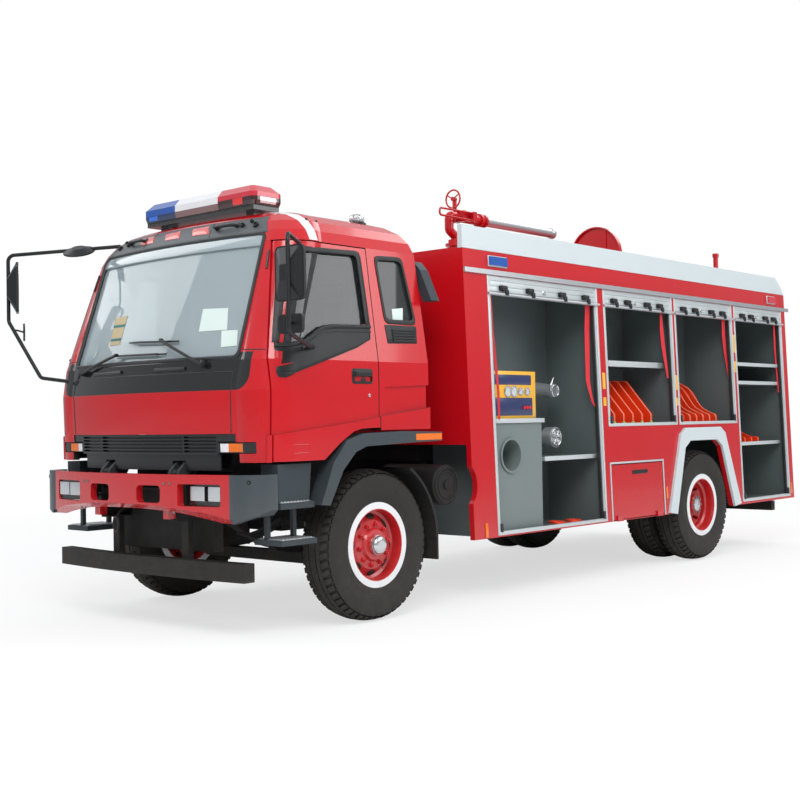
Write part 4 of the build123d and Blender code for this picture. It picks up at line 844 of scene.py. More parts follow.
def on_body(y, z, proud=0.0):
    """A point on the locker body's leaning left side."""
    return Vector((BODY_HALF - BODY_SLOPE * (z - BODY_FOOT) + proud, y, z))


def laid(surface, points, proud=0.0):
    """Points given on a surface, laid on it."""
    return [surface(*point, proud) for point in points]


def about_axle(centre, radius, angle, out=0.0):
    """A point at a radius and an angle about an axle across the truck, and further out along it."""
    x, y, z = centre
    return x + out, y + radius * cos(angle), z + radius * sin(angle)


def lean(piece):
    """Lean a piece, modelled upright at the foot of the body's left side, with that side."""
    foot = Matrix.Translation((BODY_HALF, 0, BODY_FOOT))
    piece.matrix_world = foot @ Matrix.Rotation(-atan(BODY_SLOPE), 4, "Y") @ foot.inverted()
    apply_place(piece)
    return piece


def side_block(y0, y1, z0, z1, back, front, edge=0.002, segments=2):
    """A block on the body's leaning side, from one distance off the side to another."""
    return lean(add_block((BODY_HALF + back, y0, z0), (BODY_HALF + front, y1, z1), edge, segments))


OUTLINE_STEP = 0.06


def outline_points(corners, radius):
    """Points round a closed outline with rounded corners."""
    made = []
    count = len(corners)
    for i, corner in enumerate(corners):
        here = Vector(corner)
        back = (Vector(corners[i - 1]) - here).normalized() * radius
        on = (Vector(corners[(i + 1) % count]) - here).normalized() * radius
        for k in range(5):
            t = k / 4
            made.append((here + back) * (1 - t) ** 2 + here * 2 * t * (1 - t) + (here + on) * t ** 2)
        far = Vector(corners[(i + 1) % count]) - on
        steps = max(int((far - here - on).length / OUTLINE_STEP), 1)
        made += [(here + on).lerp(far, k / steps) for k in range(1, steps)]
    return made


# Finishes for the added pieces

gasket_rubber = make_finish("gasket_rubber", (0.020, 0.022, 0.024), 0.5, mottle=0.15, dust=0.05, grain=800, bump=0.1)
# An opaque strip painted pale as a reflection in glass, for the windscreen's top
painted_reflection_band = make_finish("painted_reflection_band", (0.30, 0.36, 0.38), 0.06, coat=0.6, dust=0.0, bump=0.01)
visor_plastic = make_finish("visor_plastic", (0.075, 0.085, 0.092), 0.5, mottle=0.12, dust=0.0, grain=800, bump=0.15)
marker_lens = make_finish("marker_lens", (0.62, 0.10, 0.09), 0.2, coat=0.5, dust=0.0, grain=200, bump=0.1)
amber_lens = make_finish("amber_lens", AMBER, 0.2, coat=0.5, dust=0.0, bump=0.04, lines=((0, 0, 1), 0.012))
paper_white = make_finish("paper_white", (0.62, 0.72, 0.68), 0.8, dust=0.0, bump=0.05)
card_tan = make_finish("card_tan", (0.50, 0.40, 0.24), 0.7, dust=0.0, bump=0.05,
                       zones=[(zone(fold=0, from_z=2.085, to_z=2.105), CARD_GREEN, 0.6, 0),
                              (zone(fold=0, from_z=1.985, to_z=2.005), CARD_GREEN, 0.6, 0)])
shutter_paint = make_finish("shutter_paint", (0.52, 0.56, 0.57), 0.35, metallic=0.2, mottle=0.1, dust=0.05, bump=0.03)
webbing = make_finish("webbing", (0.62, 0.012, 0.025), 0.6, dust=0.0, bump=0.3, lines=((0, 0, 1), 0.004))
yellow_sheet = make_finish("yellow_sheet", (0.80, 0.42, 0.02), 0.35, coat=0.3, dust=0.0, bump=0.03)
panel_blue = make_finish("panel_blue", (0.012, 0.022, 0.10), 0.35, coat=0.2, dust=0.0, bump=0.02)
dial_face = make_finish("dial_face", (0.55, 0.57, 0.57), 0.3, dust=0.0, bump=0.02)
bright_steel = make_finish("bright_steel", (0.60, 0.61, 0.62), 0.22, metallic=0.9, mottle=0.15, dust=0.05, bump=0.06)
mirror_glass = make_finish("mirror_glass", (0.80, 0.82, 0.84), 0.03, metallic=1.0, mottle=0.0, dust=0.0, bump=0.0)
tip_green = make_finish("tip_green", (0.20, 0.62, 0.05), 0.4, dust=0.0, bump=0.03)
# Pale pink lines along the racks' edges: a painted highlight
rack_edge_highlight = make_finish("rack_edge_highlight", (0.85, 0.33, 0.22), 0.45, dust=0.0, bump=0.03)


# Front of the cab


def add_windscreen_trim():
    """The rubber round the windscreen, an opaque band along its top painted pale as the glass's reflection, the panel
    seams and the pillar clips.
    """
    corners = [(-0.905, 1.812), (0.905, 1.812), (0.882, 2.644), (-0.882, 2.644)]
    gasket = add_rod(laid(on_front, outline_points(corners, 0.05)), 0.014, closed=True)
    finish_piece(gasket, "windscreen_gasket", gasket_rubber, "cab")
    # Over the top of the opening, an opaque strip painted pale as the windscreen glass's reflection
    band = add_patch(on_front, [(-0.884, 2.562), (0.884, 2.562), (0.880, 2.642), (-0.880, 2.642)], 0.004, 0.018,
                     columns=24, rows=3, edge=0.002)
    finish_piece(band, "painted_reflection_band", painted_reflection_band, "cab")
    seams = [add_rod([on_front(side * (0.870 + 0.012 * i / 6), 1.325 + 0.066 * i) for i in range(7)], 0.0035)
             for side in (-1, 1)]
    seams.append(add_rod([on_front(-0.882 + 1.764 * i / 20, 1.722) for i in range(21)], 0.0035))
    seams += [add_rod([on_front(side * (0.925 + 0.035 * i), 1.860 - 0.001 * i) for i in range(6)], 0.0035)
              for side in (-1, 1)]
    finish_piece(seams, "front_seams", gasket_rubber, "cab")
    clips = [add_rod([on_front(side * 0.947, 2.522, 0.004), on_front(side * 0.965, 2.398, 0.004)], 0.008)
             for side in (-1, 1)]
    finish_piece(clips, "pillar_clips", black_plastic, "cab")


LENSES = [[(0.178, 2.700), (0.348, 2.697), (0.283, 2.765), (0.110, 2.765)],
          [(-0.130, 2.700), (0.038, 2.700), (-0.016, 2.765), (-0.195, 2.765)],
          [(-0.450, 2.700), (-0.276, 2.700), (-0.335, 2.765), (-0.510, 2.765)]]


def add_visor():
    """The grey visor over the windscreen with its marker lenses, grab handles and plugs."""
    visor = add_patch(on_front, [(-0.892, 2.656), (0.892, 2.656), (0.795, 2.784), (-0.795, 2.784)], 0.007, 0.014,
                      columns=24, rows=6, edge=0.004)
    finish_piece(visor, "visor", visor_plastic, "cab")
    lenses = [add_patch(on_front, corners, 0.012, 0.01, columns=4, rows=3, edge=0.004) for corners in LENSES]
    finish_piece(lenses, "marker_lenses", marker_lens, "cab")
    seams = [add_rod([on_front(side * (0.371 - 0.055 * i / 4), 2.665 + 0.028 * i, 0.006) for i in range(5)], 0.003)
             for side in (-1, 1)]
    handles = []
    for side in (-1, 1):
        handles.append(add_rod([on_front(side * x, z, proud) for x, z, proud in (
            (0.405, 2.728, 0.0), (0.405, 2.730, 0.045), (0.425, 2.732, 0.055), (0.560, 2.732, 0.055),
            (0.590, 2.730, 0.045), (0.592, 2.728, 0.0))], 0.011, curved=True))
        for x in (0.405, 0.592):
            handles.append(add_disc(on_front(side * x, 2.728, 0.004), (0, -0.8, 0.6), 0.022, 0.012))
        for x, z, size in ((0.640, 2.722, 0.017), (0.700, 2.745, 0.013), (0.760, 2.712, 0.021)):
            handles.append(add_disc(on_front(side * x, z, 0.005), (side * 0.1, -0.8, 0.6), size, 0.022, 0.004, 24,
                                    0.01))
    finish_piece(seams + handles, "visor_handles", black_plastic, "cab")


def add_wipers():
    """Two wipers that rest on the windscreen's foot, and the covers of their motor."""
    parts = []
    for pivot, knee, blade in (((-0.720, 1.764), (-0.278, 1.875), ((-0.340, 1.872), (0.264, 1.861))),
                               ((0.652, 1.772), (0.197, 1.958), ((-0.182, 1.960), (0.357, 1.943)))):
        parts.append(add_disc(on_front(*pivot, -0.004), (0, -1, 0.15), 0.024, 0.045, 0.005))
        bend = [one * 0.6 + other * 0.4 for one, other in zip(pivot, knee)]
        parts.append(add_rod([on_front(*pivot, 0.032), on_front(*bend, 0.042), on_front(*knee, 0.030)], 0.011,
                             curved=True))
        (x0, z0), (x1, z1) = blade
        spots = [(x0 + (x1 - x0) * i / 8, z0 + (z1 - z0) * i / 8) for i in range(9)]
        parts.append(add_rod(laid(on_front, spots, 0.004), 0.006))
        parts.append(add_rod(laid(on_front, spots[1:8], 0.016), 0.0075))
        for x, z in spots[1:8:2]:
            parts.append(add_rod([on_front(x, z, 0.002), on_front(x, z, 0.018)], 0.005))
        parts.append(add_rod([on_front(*knee, 0.034), on_front(*knee, 0.012)], 0.012))
    for x0, x1 in ((-0.574, -0.195), (0.185, 0.477)):
        parts.append(add_rod([on_front(x0 + (x1 - x0) * i / 6, 1.752, 0.0) for i in range(7)], 0.015))
    finish_piece(parts, "wipers", black_plastic, "cab")


def add_papers_and_mirror():
    """Blank papers and a card laid on the glass, and the inner mirror on its stay behind it."""
    sheets = [add_patch(on_front, [(0.505, 2.000), (0.750, 2.000), (0.713, 2.148), (0.490, 2.156)], -0.012, 0.001,
                        edge=0),
              add_patch(on_front, [(0.735, 1.885), (0.862, 1.890), (0.838, 1.994), (0.705, 1.996)], -0.012, 0.001,
                        edge=0),
              add_patch(on_side, [(-2.478, 2.100), (-2.371, 2.100), (-2.355, 2.189), (-2.475, 2.175)], -0.012, 0.001,
                        columns=2, rows=2, edge=0)]
    finish_piece(sheets, "blank_papers", paper_white, "cab")
    card = add_patch(on_front, [(-0.470, 1.955), (-0.335, 1.955), (-0.335, 2.165), (-0.500, 2.160)], -0.011, 0.002)
    finish_piece(card, "hanging_card", card_tan, "cab")
    mirror = [add_disc(on_front(-0.570, 2.440, -0.115), (0.2, 1, 0), 0.105, 0.022, 0.006, 32, 0.003),
              add_rod([on_front(-0.640, 2.640, -0.060), on_front(-0.600, 2.540, -0.100)], 0.006),
              add_rod([on_front(-0.545, 2.640, -0.060), on_front(-0.575, 2.540, -0.100)], 0.006),
              add_rod([on_front(-0.550, 2.345, -0.105), on_front(-0.470, 2.260, -0.070),
                       on_front(-0.400, 2.165, -0.048)], 0.003)]
    finish_piece(mirror, "inner_mirror", black_plastic, "cab")


BOLTS = [(0.430, 0.998), (0.485, 0.999), (0.462, 0.811), (0.518, 0.812)]


def front_of_bumper(x):
    """How far forward the bumper's bowed face stands."""
    return -3.970 + 0.1212 * x * x


def add_bumper_parts():
    """Bumper bolts and cap screws, the towing eye, the finned black plate behind the grille's foot, which stands for a
    duct and puts painted shade where the floor would show through, and step plates.
    """
    bolts = []
    for side in (-1, 1):
        for x, z in BOLTS:
            bolts.append(add_disc((side * x, front_of_bumper(x) + 0.002, z), (0, -1, 0), 0.010, 0.008, 0.002, 6))
    finish_piece(bolts, "bumper_bolts", steel, "chassis")
    caps = []
    for side in (-1, 1):
        for x, y, facing in ((1.012, -3.850, -0.2), (1.110, -3.815, -0.5)):
            caps.append(add_disc((side * x, y + 0.004, 1.012), (side * -facing, -1, 0), 0.014, 0.008, sides=24,
                                 dish=0.004))
    caps.append(add_ring((-0.16, -3.905, 0.705), (0.3, 1, 0), 0.050, 0.009))
    caps.append(add_rod([(-0.16, -3.90, 0.750), (-0.16, -3.88, 0.800), (-0.16, -3.80, 0.820)], 0.010, curved=True))
    finish_piece(caps, "cap_screws", chassis_black, "chassis")
    # A black finned plate behind the grille's foot: a duct, and painted shade where the floor would show through the
    # gap
    duct_and_shade_plates = [add_block((-0.70, -3.60, 1.065), (0.70, -3.58, 1.235), 0.006),
             add_block((-0.33, -3.60, 1.030), (0.33, -3.58, 1.070), 0.006)]
    duct_and_shade_plates += [add_block((-0.68, -3.612, 1.085 + 0.030 * i), (0.68, -3.598, 1.093 + 0.030 * i), 0.002) for i in range(5)]
    finish_piece(duct_and_shade_plates, "duct_and_shade_plate", chassis_black, "cab")
    treads = []
    for y0, y1, x0, x1, z in ((-3.615, -3.345, 0.920, 1.188, 0.872), (-3.600, -3.312, 0.945, 1.180, 0.632)):
        treads.append(add_block((x0, y0, z), (x1, y1, z + 0.004), 0.001))
        for i in range(9):
            y = y0 + 0.02 + (y1 - y0 - 0.04) * i / 8
            treads.append(add_block((x0 + 0.01, y - 0.006, z + 0.003), (x1 - 0.01, y + 0.006, z + 0.009), 0.002))
    finish_pair(treads, "step_treads", aluminium, "chassis")


# Sides of the cab

# How far trim stands off the cab's side
TRIM_PROUD = 0.006
WINDOW_OUT = [(-3.612, 1.900), (-3.530, 2.200), (-3.445, 2.500), (-3.425, 2.530), (-3.385, 2.545), (-2.800, 2.562),
              (-2.770, 2.552), (-2.757, 2.520), (-2.748, 2.300), (-2.740, 2.040)]
WINDOW_IN = [(-3.575, 1.900), (-3.485, 2.200), (-3.400, 2.482), (-3.388, 2.502), (-3.360, 2.512), (-2.825, 2.528),
             (-2.806, 2.520), (-2.798, 2.500), (-2.790, 2.300), (-2.784, 2.040)]
RIDGE = [(-3.604, 1.892), (-3.500, 1.900), (-3.414, 1.912), (-3.340, 1.945), (-3.270, 1.990), (-3.200, 2.022),
         (-3.100, 2.034), (-2.900, 2.040), (-2.745, 2.046)]
PANEL_FOOT = [(-3.618, 1.700), (-3.500, 1.700), (-3.414, 1.727), (-3.340, 1.749), (-3.270, 1.771), (-3.200, 1.792),
              (-3.100, 1.823), (-2.900, 1.884), (-2.752, 1.948)]


FINE_STEPS = 5


def fine(points):
    """A line of points with more points between them."""
    made = []
    for one, other in zip(points, points[1:]):
        made += [Vector(one).lerp(Vector(other), i / FINE_STEPS) for i in range(FINE_STEPS)]
    return made + [Vector(points[-1])]


def add_door_trim():
    """The black frame and waist panel of a door's window, its handle, its lock and the pressed outline below."""
    surround = add_sheet(laid(on_side, fine(WINDOW_IN), TRIM_PROUD), laid(on_side, fine(WINDOW_OUT), TRIM_PROUD), 0.012)
    panel = add_sheet(laid(on_side, fine(PANEL_FOOT), TRIM_PROUD), laid(on_side, fine(RIDGE), TRIM_PROUD), 0.014,
                      rows=8)
    ridge = add_rod([on_side(y, z - 0.012, 0.004) for y, z in fine(RIDGE)], 0.015)
    low = add_rod([on_side(y, z - 0.045, 0.001) for y, z in fine(RIDGE[2:])], 0.010)
    low_edge = fine(((-3.606, 1.676), (-3.560, 1.672), (-3.500, 1.696)))
    high_edge = fine(((-3.618, 1.702), (-3.560, 1.706), (-3.498, 1.706)))
    corner = add_sheet(laid(on_side, low_edge, TRIM_PROUD), laid(on_side, high_edge, TRIM_PROUD), 0.014)
    finish_pair([surround, panel, ridge, low, corner], "door_window_trim", black_plastic, DOORS)
    plate = add_block((1.160, -2.966, 1.634), (1.215, -2.752, 1.748), 0.026, 5)
    sink_faces(plate, OUT, 0.004, 0.014)
    bar = add_block((1.196, -2.942, 1.688), (1.224, -2.770, 1.728), 0.012, 4)
    scoop = add_disc((1.196, -2.850, 1.664), OUT, 0.022, 0.010, 0.002)
    finish_pair([plate, bar, scoop], "door_handle", black_plastic, DOORS)
    lock = add_disc((1.201, -2.792, 1.561), OUT, 0.011, 0.006, 0.001, 24, 0.002)
    finish_pair(lock, "door_lock", bright_steel, DOORS)
    marks = [(-3.600, 1.238), (-3.500, 1.240), (-3.384, 1.242), (-3.384, 1.190), (-3.500, 1.187), (-3.600, 1.185)]
    pressed = add_rod(laid(on_side, marks, 0.0155), 0.003)
    finish_pair(pressed, "pressed_outline", red_paint, DOORS)


QUARTER_OUT = [(-2.618, 2.546), (-2.322, 2.558), (-2.246, 2.068), (-2.582, 2.066)]
QUARTER_MIDDLE = Vector((-2.445, 2.310))


def add_quarter_trim():
    """The black frame of the rear side window and the air outlet under it."""
    outer = outline_points(QUARTER_OUT, 0.05)
    inner = [QUARTER_MIDDLE + (point - QUARTER_MIDDLE) * 0.87 for point in outer]
    outer.append(outer[0])
    inner.append(inner[0])
    surround = add_sheet(laid(on_side, inner, TRIM_PROUD), laid(on_side, outer, TRIM_PROUD), 0.012)
    plate = add_patch(on_side, [(-2.575, 1.925), (-2.262, 1.935), (-2.248, 2.060), (-2.588, 2.058)], 0.004, 0.010,
                      columns=6, rows=3, edge=0.004)
    slats = [add_rod([on_side(-2.520, 2.022 - 0.019 * i, 0.006), on_side(-2.275, 2.027 - 0.019 * i, 0.006)], 0.0065)
             for i in range(5)]
    finish_pair([surround, plate] + slats, "quarter_window_trim", black_plastic, "cab")


def add_roof_parts():
    """The clear lamp and small horn on the roof, and the rivets along its edge."""
    base = [add_disc((0.743, -2.405, 2.808), UP, 0.070, 0.030, 0.006),
            add_disc((0.700, -2.310, 2.800), UP, 0.030, 0.040, 0.006),
            add_rod([(0.700, -2.310, 2.850), (0.700, -2.290, 2.885), (0.660, -2.340, 2.890)], 0.020, curved=True)]
    for y, x in ((-3.173, 1.001), (-3.055, 0.977), (-2.408, 0.947), (-2.304, 0.940)):
        base += [add_disc((side * x, y, 2.750), (side * 0.6, 0, 0.8), 0.009, 0.010, 0.002, 12) for side in (-1, 1)]
    finish_piece(base, "roof_fittings", black_plastic, "cab")
    dome = add_disc((0.743, -2.405, 2.838), UP, 0.055, 0.060, 0.018)
    finish_piece(dome, "roof_lamp", make_clear("lamp_dome", (0.90, 0.94, 0.95), 0.05, transmission=0.8), "cab",
                 60)


# Locker body

# Each bay's front, rear and foot
BAYS = [(-1.412, 0.132, 0.497), (0.231, 1.425, 1.308), (1.470, 2.640, 1.308), (2.690, 3.800, 0.510)]
# The foot of the drip rail, and where each shutter's latches and lock stand
RAIL_LINE = 2.501
LATCHES = [(-1.219, -0.863, -0.406, -0.055), (0.398, 0.627, 0.967, 1.192), (1.637, 1.868, 2.203, 2.435),
           (2.868, 3.068, 3.403, 3.605)]
LOCKS = [-0.653, 0.768, 2.013, 3.207]


def add_shutters():
    """The ends of the rolled-up shutters: slats, lift bars, latches and locks."""
    slats, bars, latches, locks = [], [], [], []
    for (y0, y1, _), places, lock in zip(BAYS, LATCHES, LOCKS):
        for i in range(3):
            z = 2.376 + 0.042 * i
            slats.append(side_block(y0 + 0.006, y1 - 0.006, z, z + 0.041, -0.026, -0.006, 0.004, 3))
        bars.append(side_block(y0 + 0.010, y1 - 0.010, 2.346, 2.366, -0.010, 0.010, 0.004, 3))
        bars.append(lean(add_rod([(BODY_HALF + 0.014, y0 - 0.010, 2.358), (BODY_HALF + 0.014, y1 + 0.012, 2.358)],
                                 0.010)))
        for y in places:
            latches.append(side_block(y - 0.045, y + 0.035, 2.386, 2.426, -0.008, 0.030, 0.009, 3))
            latches.append(side_block(y + 0.005, y + 0.045, 2.350, 2.396, 0.012, 0.032, 0.006, 3))
        locks.append(side_block(lock - 0.022, lock + 0.022, 2.388, 2.422, -0.008, -0.002, 0.003))
        locks.append(lean(add_disc((BODY_HALF - 0.004, lock, 2.405), OUT, 0.010, 0.006, 0.001, 20, 0.002)))
    finish_pair(slats, "shutter_slats", shutter_paint, "chassis")
    finish_pair(bars, "lift_bars", aluminium, "chassis")
    finish_pair(latches, "shutter_latches", black_plastic, "chassis")
    finish_pair(locks, "shutter_locks", bright_steel, "chassis")


def add_bay_frames():
    """Aluminium guides at both sides of each bay with their black seals, and the sills."""
    guides, seals = [], []
    for y0, y1, foot in BAYS:
        for at, inward in ((y0, 1), (y1, -1)):
            near, far = sorted((at - inward * 0.004, at + inward * 0.022))
            guides.append(side_block(near, far, foot, RAIL_LINE, -0.040, 0.004, 0.003))
            near, far = sorted((at + inward * 0.024, at + inward * 0.036))
            guides.append(side_block(near, far, foot, RAIL_LINE, -0.040, -0.002, 0.003))
            near, far = sorted((at + inward * 0.036, at + inward * 0.050))
            seals.append(side_block(near, far, foot + 0.02, 2.350, -0.042, -0.010, 0.003))
            seals.append(side_block(near - 0.006, far + 0.006, foot + 0.020, foot + 0.085, -0.010, 0.012, 0.004))
        guides.append(side_block(y0, y1, foot - 0.004, foot + 0.024, -0.040, 0.006, 0.003))
    finish_pair(guides, "bay_guides", shutter_paint, "chassis")
    finish_pair(seals, "bay_seals", gasket_rubber, "chassis")


# Red pull straps: points of (middle y, height, width, distance in from the side)
STRAPS = [
    [(0.050, 2.345, 0.060, 0.05), (0.040, 2.150, 0.058, 0.06), (0.025, 1.900, 0.055, 0.06),
     (0.015, 1.700, 0.045, 0.06), (0.030, 1.600, 0.028, 0.05), (0.060, 1.520, 0.016, 0.05),
     (0.100, 1.460, 0.014, 0.04), (0.112, 1.420, 0.010, 0.03)],
    [(-1.330, 2.345, 0.030, 0.05), (-1.310, 2.100, 0.024, 0.06), (-1.285, 1.850, 0.020, 0.06),
     (-1.275, 1.600, 0.016, 0.05), (-1.280, 1.380, 0.012, 0.05)],
    [(1.300, 2.345, 0.020, 0.05), (1.315, 2.200, 0.046, 0.06), (1.330, 2.050, 0.050, 0.06), (1.345, 1.880, 0.034, 0.05),
     (1.354, 1.740, 0.010, 0.04)],
    [(2.545, 2.345, 0.046, 0.05), (2.556, 2.200, 0.046, 0.06), (2.575, 2.020, 0.040, 0.06), (2.592, 1.850, 0.024, 0.05),
     (2.606, 1.710, 0.008, 0.04)],
    [(3.720, 2.345, 0.020, 0.05), (3.735, 2.150, 0.020, 0.06), (3.745, 1.900, 0.016, 0.06),
     (3.748, 1.620, 0.010, 0.05)],
]


def add_straps():
    """Webbing straps that hang from the shutters' lift bars."""
    made = []
    for line in STRAPS:
        one = [on_body(y - w / 2, z, -back) for y, z, w, back in line]
        other = [on_body(y + w / 2, z, -back + 0.010) for y, z, w, back in line]
        made.append(add_sheet(other, one, 0.002, edge=0))
    finish_pair(made, "pull_straps", webbing, "chassis")


def add_side_marks():
    """Reflective blocks on the pillars, amber markers along the foot, beacon bases, the low door's frame and handle."""
    blocks = []
    for y0, y1 in ((0.162, 0.206), (1.431, 1.465), (2.646, 2.684)):
        for z0, z1 in ((1.630, 1.770), (1.484, 1.556)) if y0 < 2 else ((2.020, 2.200), (1.820, 1.930)):
            blocks.append(side_block(y0, y1, z0, z1, 0.0, 0.002, 0.0005))
    finish_pair(blocks, "reflective_blocks", yellow_sheet, "chassis")
    markers = [side_block(y0, y0 + 0.030, z0, z0 + 0.110, 0.0, 0.008, 0.003)
               for y0, z0 in ((-1.575, 0.490), (1.150, 0.628), (3.815, 0.535))]
    finish_pair(markers, "side_markers", amber_lens, "chassis")
    bases = [side_block(y0, y1, 2.566, 2.652, 0.0, 0.010, 0.006, 3) for y0, y1 in ((-1.400, -1.156), (3.466, 3.664))]
    finish_pair(bases, "beacon_bases", shutter_paint, "chassis")
    edging = [side_block(y, y + 0.017, 0.486, 0.992, 0.0, 0.005, 0.001) for y in (0.212, 1.112)]
    edging.append(side_block(0.212, 1.129, 0.977, 0.993, 0.0, 0.006, 0.001))
    finish_pair(edging, "low_door_frame", shutter_paint, "chassis")
    grip = side_block(0.579, 0.837, 0.878, 0.912, -0.004, 0.006, 0.004)
    sink_faces(grip, Vector((1, 0, BODY_SLOPE)).normalized(), 0.005, 0.004)
    finish_pair(grip, "low_door_grip", black_plastic, LOCKER_DOORS)


# The gauge panel: how far out its face stands, and its dials' middles and radii
PANEL_FACE = 1.115
DIAL_HEIGHT = 1.602
OUTLET = (0.962, -0.205, 1.220)
DIALS = [(-1.100, 0.040), (-1.015, 0.040), (-0.925, 0.028), (-0.835, 0.028)]


def add_pump_parts():
    """The gauge panel's plates, plain dials and buttons, the shelves' white fronts and the discs on the floor."""
    panel = add_block((PANEL_FACE - 0.002, -1.330, 1.386), (PANEL_FACE + 0.004, -0.718, 1.764))
    finish_pair(panel, "gauge_panel", yellow_sheet, "chassis")
    plates = [add_block((PANEL_FACE + 0.002, -1.300, 1.655), (PANEL_FACE + 0.007, -0.780, 1.735), 0.002),
              add_block((PANEL_FACE + 0.002, -1.300, 1.410), (PANEL_FACE + 0.007, -0.765, 1.552), 0.002)]
    finish_pair(plates, "gauge_plates", panel_blue, "chassis")
    rims, dials, buttons = [], [], []
    for y, size in DIALS:
        rims.append(add_ring((PANEL_FACE + 0.010, y, DIAL_HEIGHT), OUT, size, 0.006, 32))
        dials.append(add_disc((PANEL_FACE + 0.004, y, DIAL_HEIGHT), OUT, size, 0.004, 0.001, 32))
        rims.append(add_rod([(PANEL_FACE + 0.0095, y, DIAL_HEIGHT),
                             (PANEL_FACE + 0.0095, y - size * 0.5, DIAL_HEIGHT + size * 0.5)], 0.0015))
    for i in range(3):
        buttons.append(add_disc((PANEL_FACE + 0.006, -0.884 + 0.036 * i, 1.473), OUT, 0.014, 0.014, 0.004, 24))
    finish_pair(rims, "dial_rims", bright_steel, "chassis")
    finish_pair(dials, "dial_faces", dial_face, "chassis")
    finish_pair(buttons, "panel_buttons", webbing, "chassis")
    fronts = [add_block((1.149, -0.655, 1.036), (1.160, 0.128, 1.072), 0.002),
              add_block((1.079, 0.235, 1.836), (1.092, 1.421, 1.888), 0.002),
              add_block((1.160, -1.405, 1.352), (1.166, -0.662, 1.387), 0.002)]
    for top in (1.105, 1.735, 1.925):
        fronts.append(add_block((1.139, 2.695, top - 0.034), (1.150, 3.795, top + 0.002), 0.002))
    finish_pair(fronts, "shelf_fronts", shutter_paint, "chassis")
    discs = [add_disc((x, y, 0.4975), UP, 0.070, 0.014, 0.003, 32, 0.006)
             for x, y in ((1.110, -0.360), (0.980, -0.250), (1.120, -0.150), (1.000, -0.020))]
    finish_pair(discs, "floor_discs", rack_plastic, "chassis")
    outlet = [add_ring(OUTLET, OUT, 0.072, 0.010), add_ring(OUTLET, OUT, 0.045, 0.006),
              add_ring((0.960, -0.205, 1.619), OUT, 0.050, 0.010),
              add_rod([(0.960, -0.275, 1.619), (0.975, -0.290, 1.680), (0.960, -0.230, 1.730)], 0.007, curved=True)]
    for turn in range(6):
        outlet.append(add_rod([about_axle(OUTLET, radius, turn * pi / 3, 0.001) for radius in (0.020, 0.070)], 0.005))
    finish_pair(outlet, "outlet_caps", bright_steel, "chassis")


def add_rack_trim():
    """Pale lines along the hose racks' edges, painted as a highlight, and coloured tips on the racks."""
    lines, tips = [], []
    for i in range(5):
        y = 0.438 + 0.158 * i
        points = [(1.141, 1.312), (1.141, 1.408), (0.905, 1.692), (0.870, 1.716), (0.700, 1.721)]
        lines.append(add_rod([(x, y - 0.0005, z) for x, z in points], 0.003))
        tips.append(add_block((1.128, y - 0.003, 1.3085), (1.143, y + 0.028, 1.345), 0.003))
    for i in range(6):
        y = 1.675 + 0.132 * i
        points = [(1.141, 1.312), (1.141, 1.370), (1.128, 1.398), (1.100, 1.409), (0.990, 1.467), (0.920, 1.559),
                  (0.848, 1.657), (0.740, 1.721)]
        lines.append(add_rod([(x, y - 0.0005, z) for x, z in points], 0.003))
    finish_pair(lines, "rack_edge_highlights", rack_edge_highlight, "chassis")
    finish_pair(tips, "rack_tips", tip_green, "chassis")


# Wheels

TREAD_PITCHES = 54
FRONT_HUB = (FRONT_WHEEL_X, FRONT_AXLE_Y, TYRE_R)
REAR_HUB = (REAR_OUTER_X, REAR_AXLE_Y, TYRE_R)
# Circles of the wheel nuts, front and rear, and of the hand holes
FRONT_NUT_CIRCLE = 0.142
REAR_NUT_CIRCLE = 0.075
HOLE_CIRCLE = 0.196
NUTS = 10
HOLES = 8
CARCASS = [(-0.108, 0.262), (-0.110, 0.285), (-0.118, 0.300), (-0.128, 0.330), (-0.135, 0.360), (-0.139, 0.398),
           (-0.137, 0.430), (-0.131, 0.455), (-0.124, 0.478), (-0.112, 0.494), (-0.064, 0.508), (-0.062, 0.521),
           (-0.036, 0.5255), (-0.034, 0.513), (-0.028, 0.513), (-0.026, 0.5265), (0.026, 0.5265), (0.028, 0.513),
           (0.034, 0.513), (0.036, 0.5255), (0.062, 0.521), (0.064, 0.508), (0.112, 0.494), (0.124, 0.478),
           (0.131, 0.455), (0.137, 0.430), (0.139, 0.398), (0.135, 0.360), (0.128, 0.330), (0.118, 0.300),
           (0.110, 0.285), (0.108, 0.262)]


def crown(x):
    """The tread's radius across the tyre."""
    return TYRE_R - 0.021 * (x / 0.114) ** 2


def add_tyre():
    """A tyre at the origin: its carcass with two grooves, and lugs on both shoulders."""
    carcass = add_turned(CARCASS, (0, 0, 0))
    lugs = []
    for side in (-1, 1):
        bpy.ops.mesh.primitive_cube_add(size=1, location=(side * 0.0945, 0, 0.492), scale=(0.057, 0.038, 0.05))
        lug = bpy.context.object
        apply_place(lug)
        edit_all(lug, (bpy.ops.mesh.subdivide, {"number_cuts": 2}))
        for vertex in lug.data.vertices:
            along = abs(vertex.co.x)
            if vertex.co.z > 0.512:
                vertex.co.z = crown(along) - max(along - 0.108, 0) * 0.6
            vertex.co.y += side * (along - 0.066) * 0.35
            if along > 0.112:
                vertex.co.z -= 0.004
        step = Matrix.Rotation(2 * pi / TREAD_PITCHES, 4, "X")
        ring_lugs = [lug]
        turn = Matrix.Rotation(side * pi / TREAD_PITCHES / 2, 4, "X")
        for _ in range(1, TREAD_PITCHES):
            turn = step @ turn
            ring_lugs.append(copy_piece(lug, turn=turn))
        lugs.append(join(ring_lugs))
    bead = [add_ring((side * 0.129, 0, 0), OUT, 0.345, 0.004, 96) for side in (-1, 1)]
    return join([carcass] + lugs + bead)


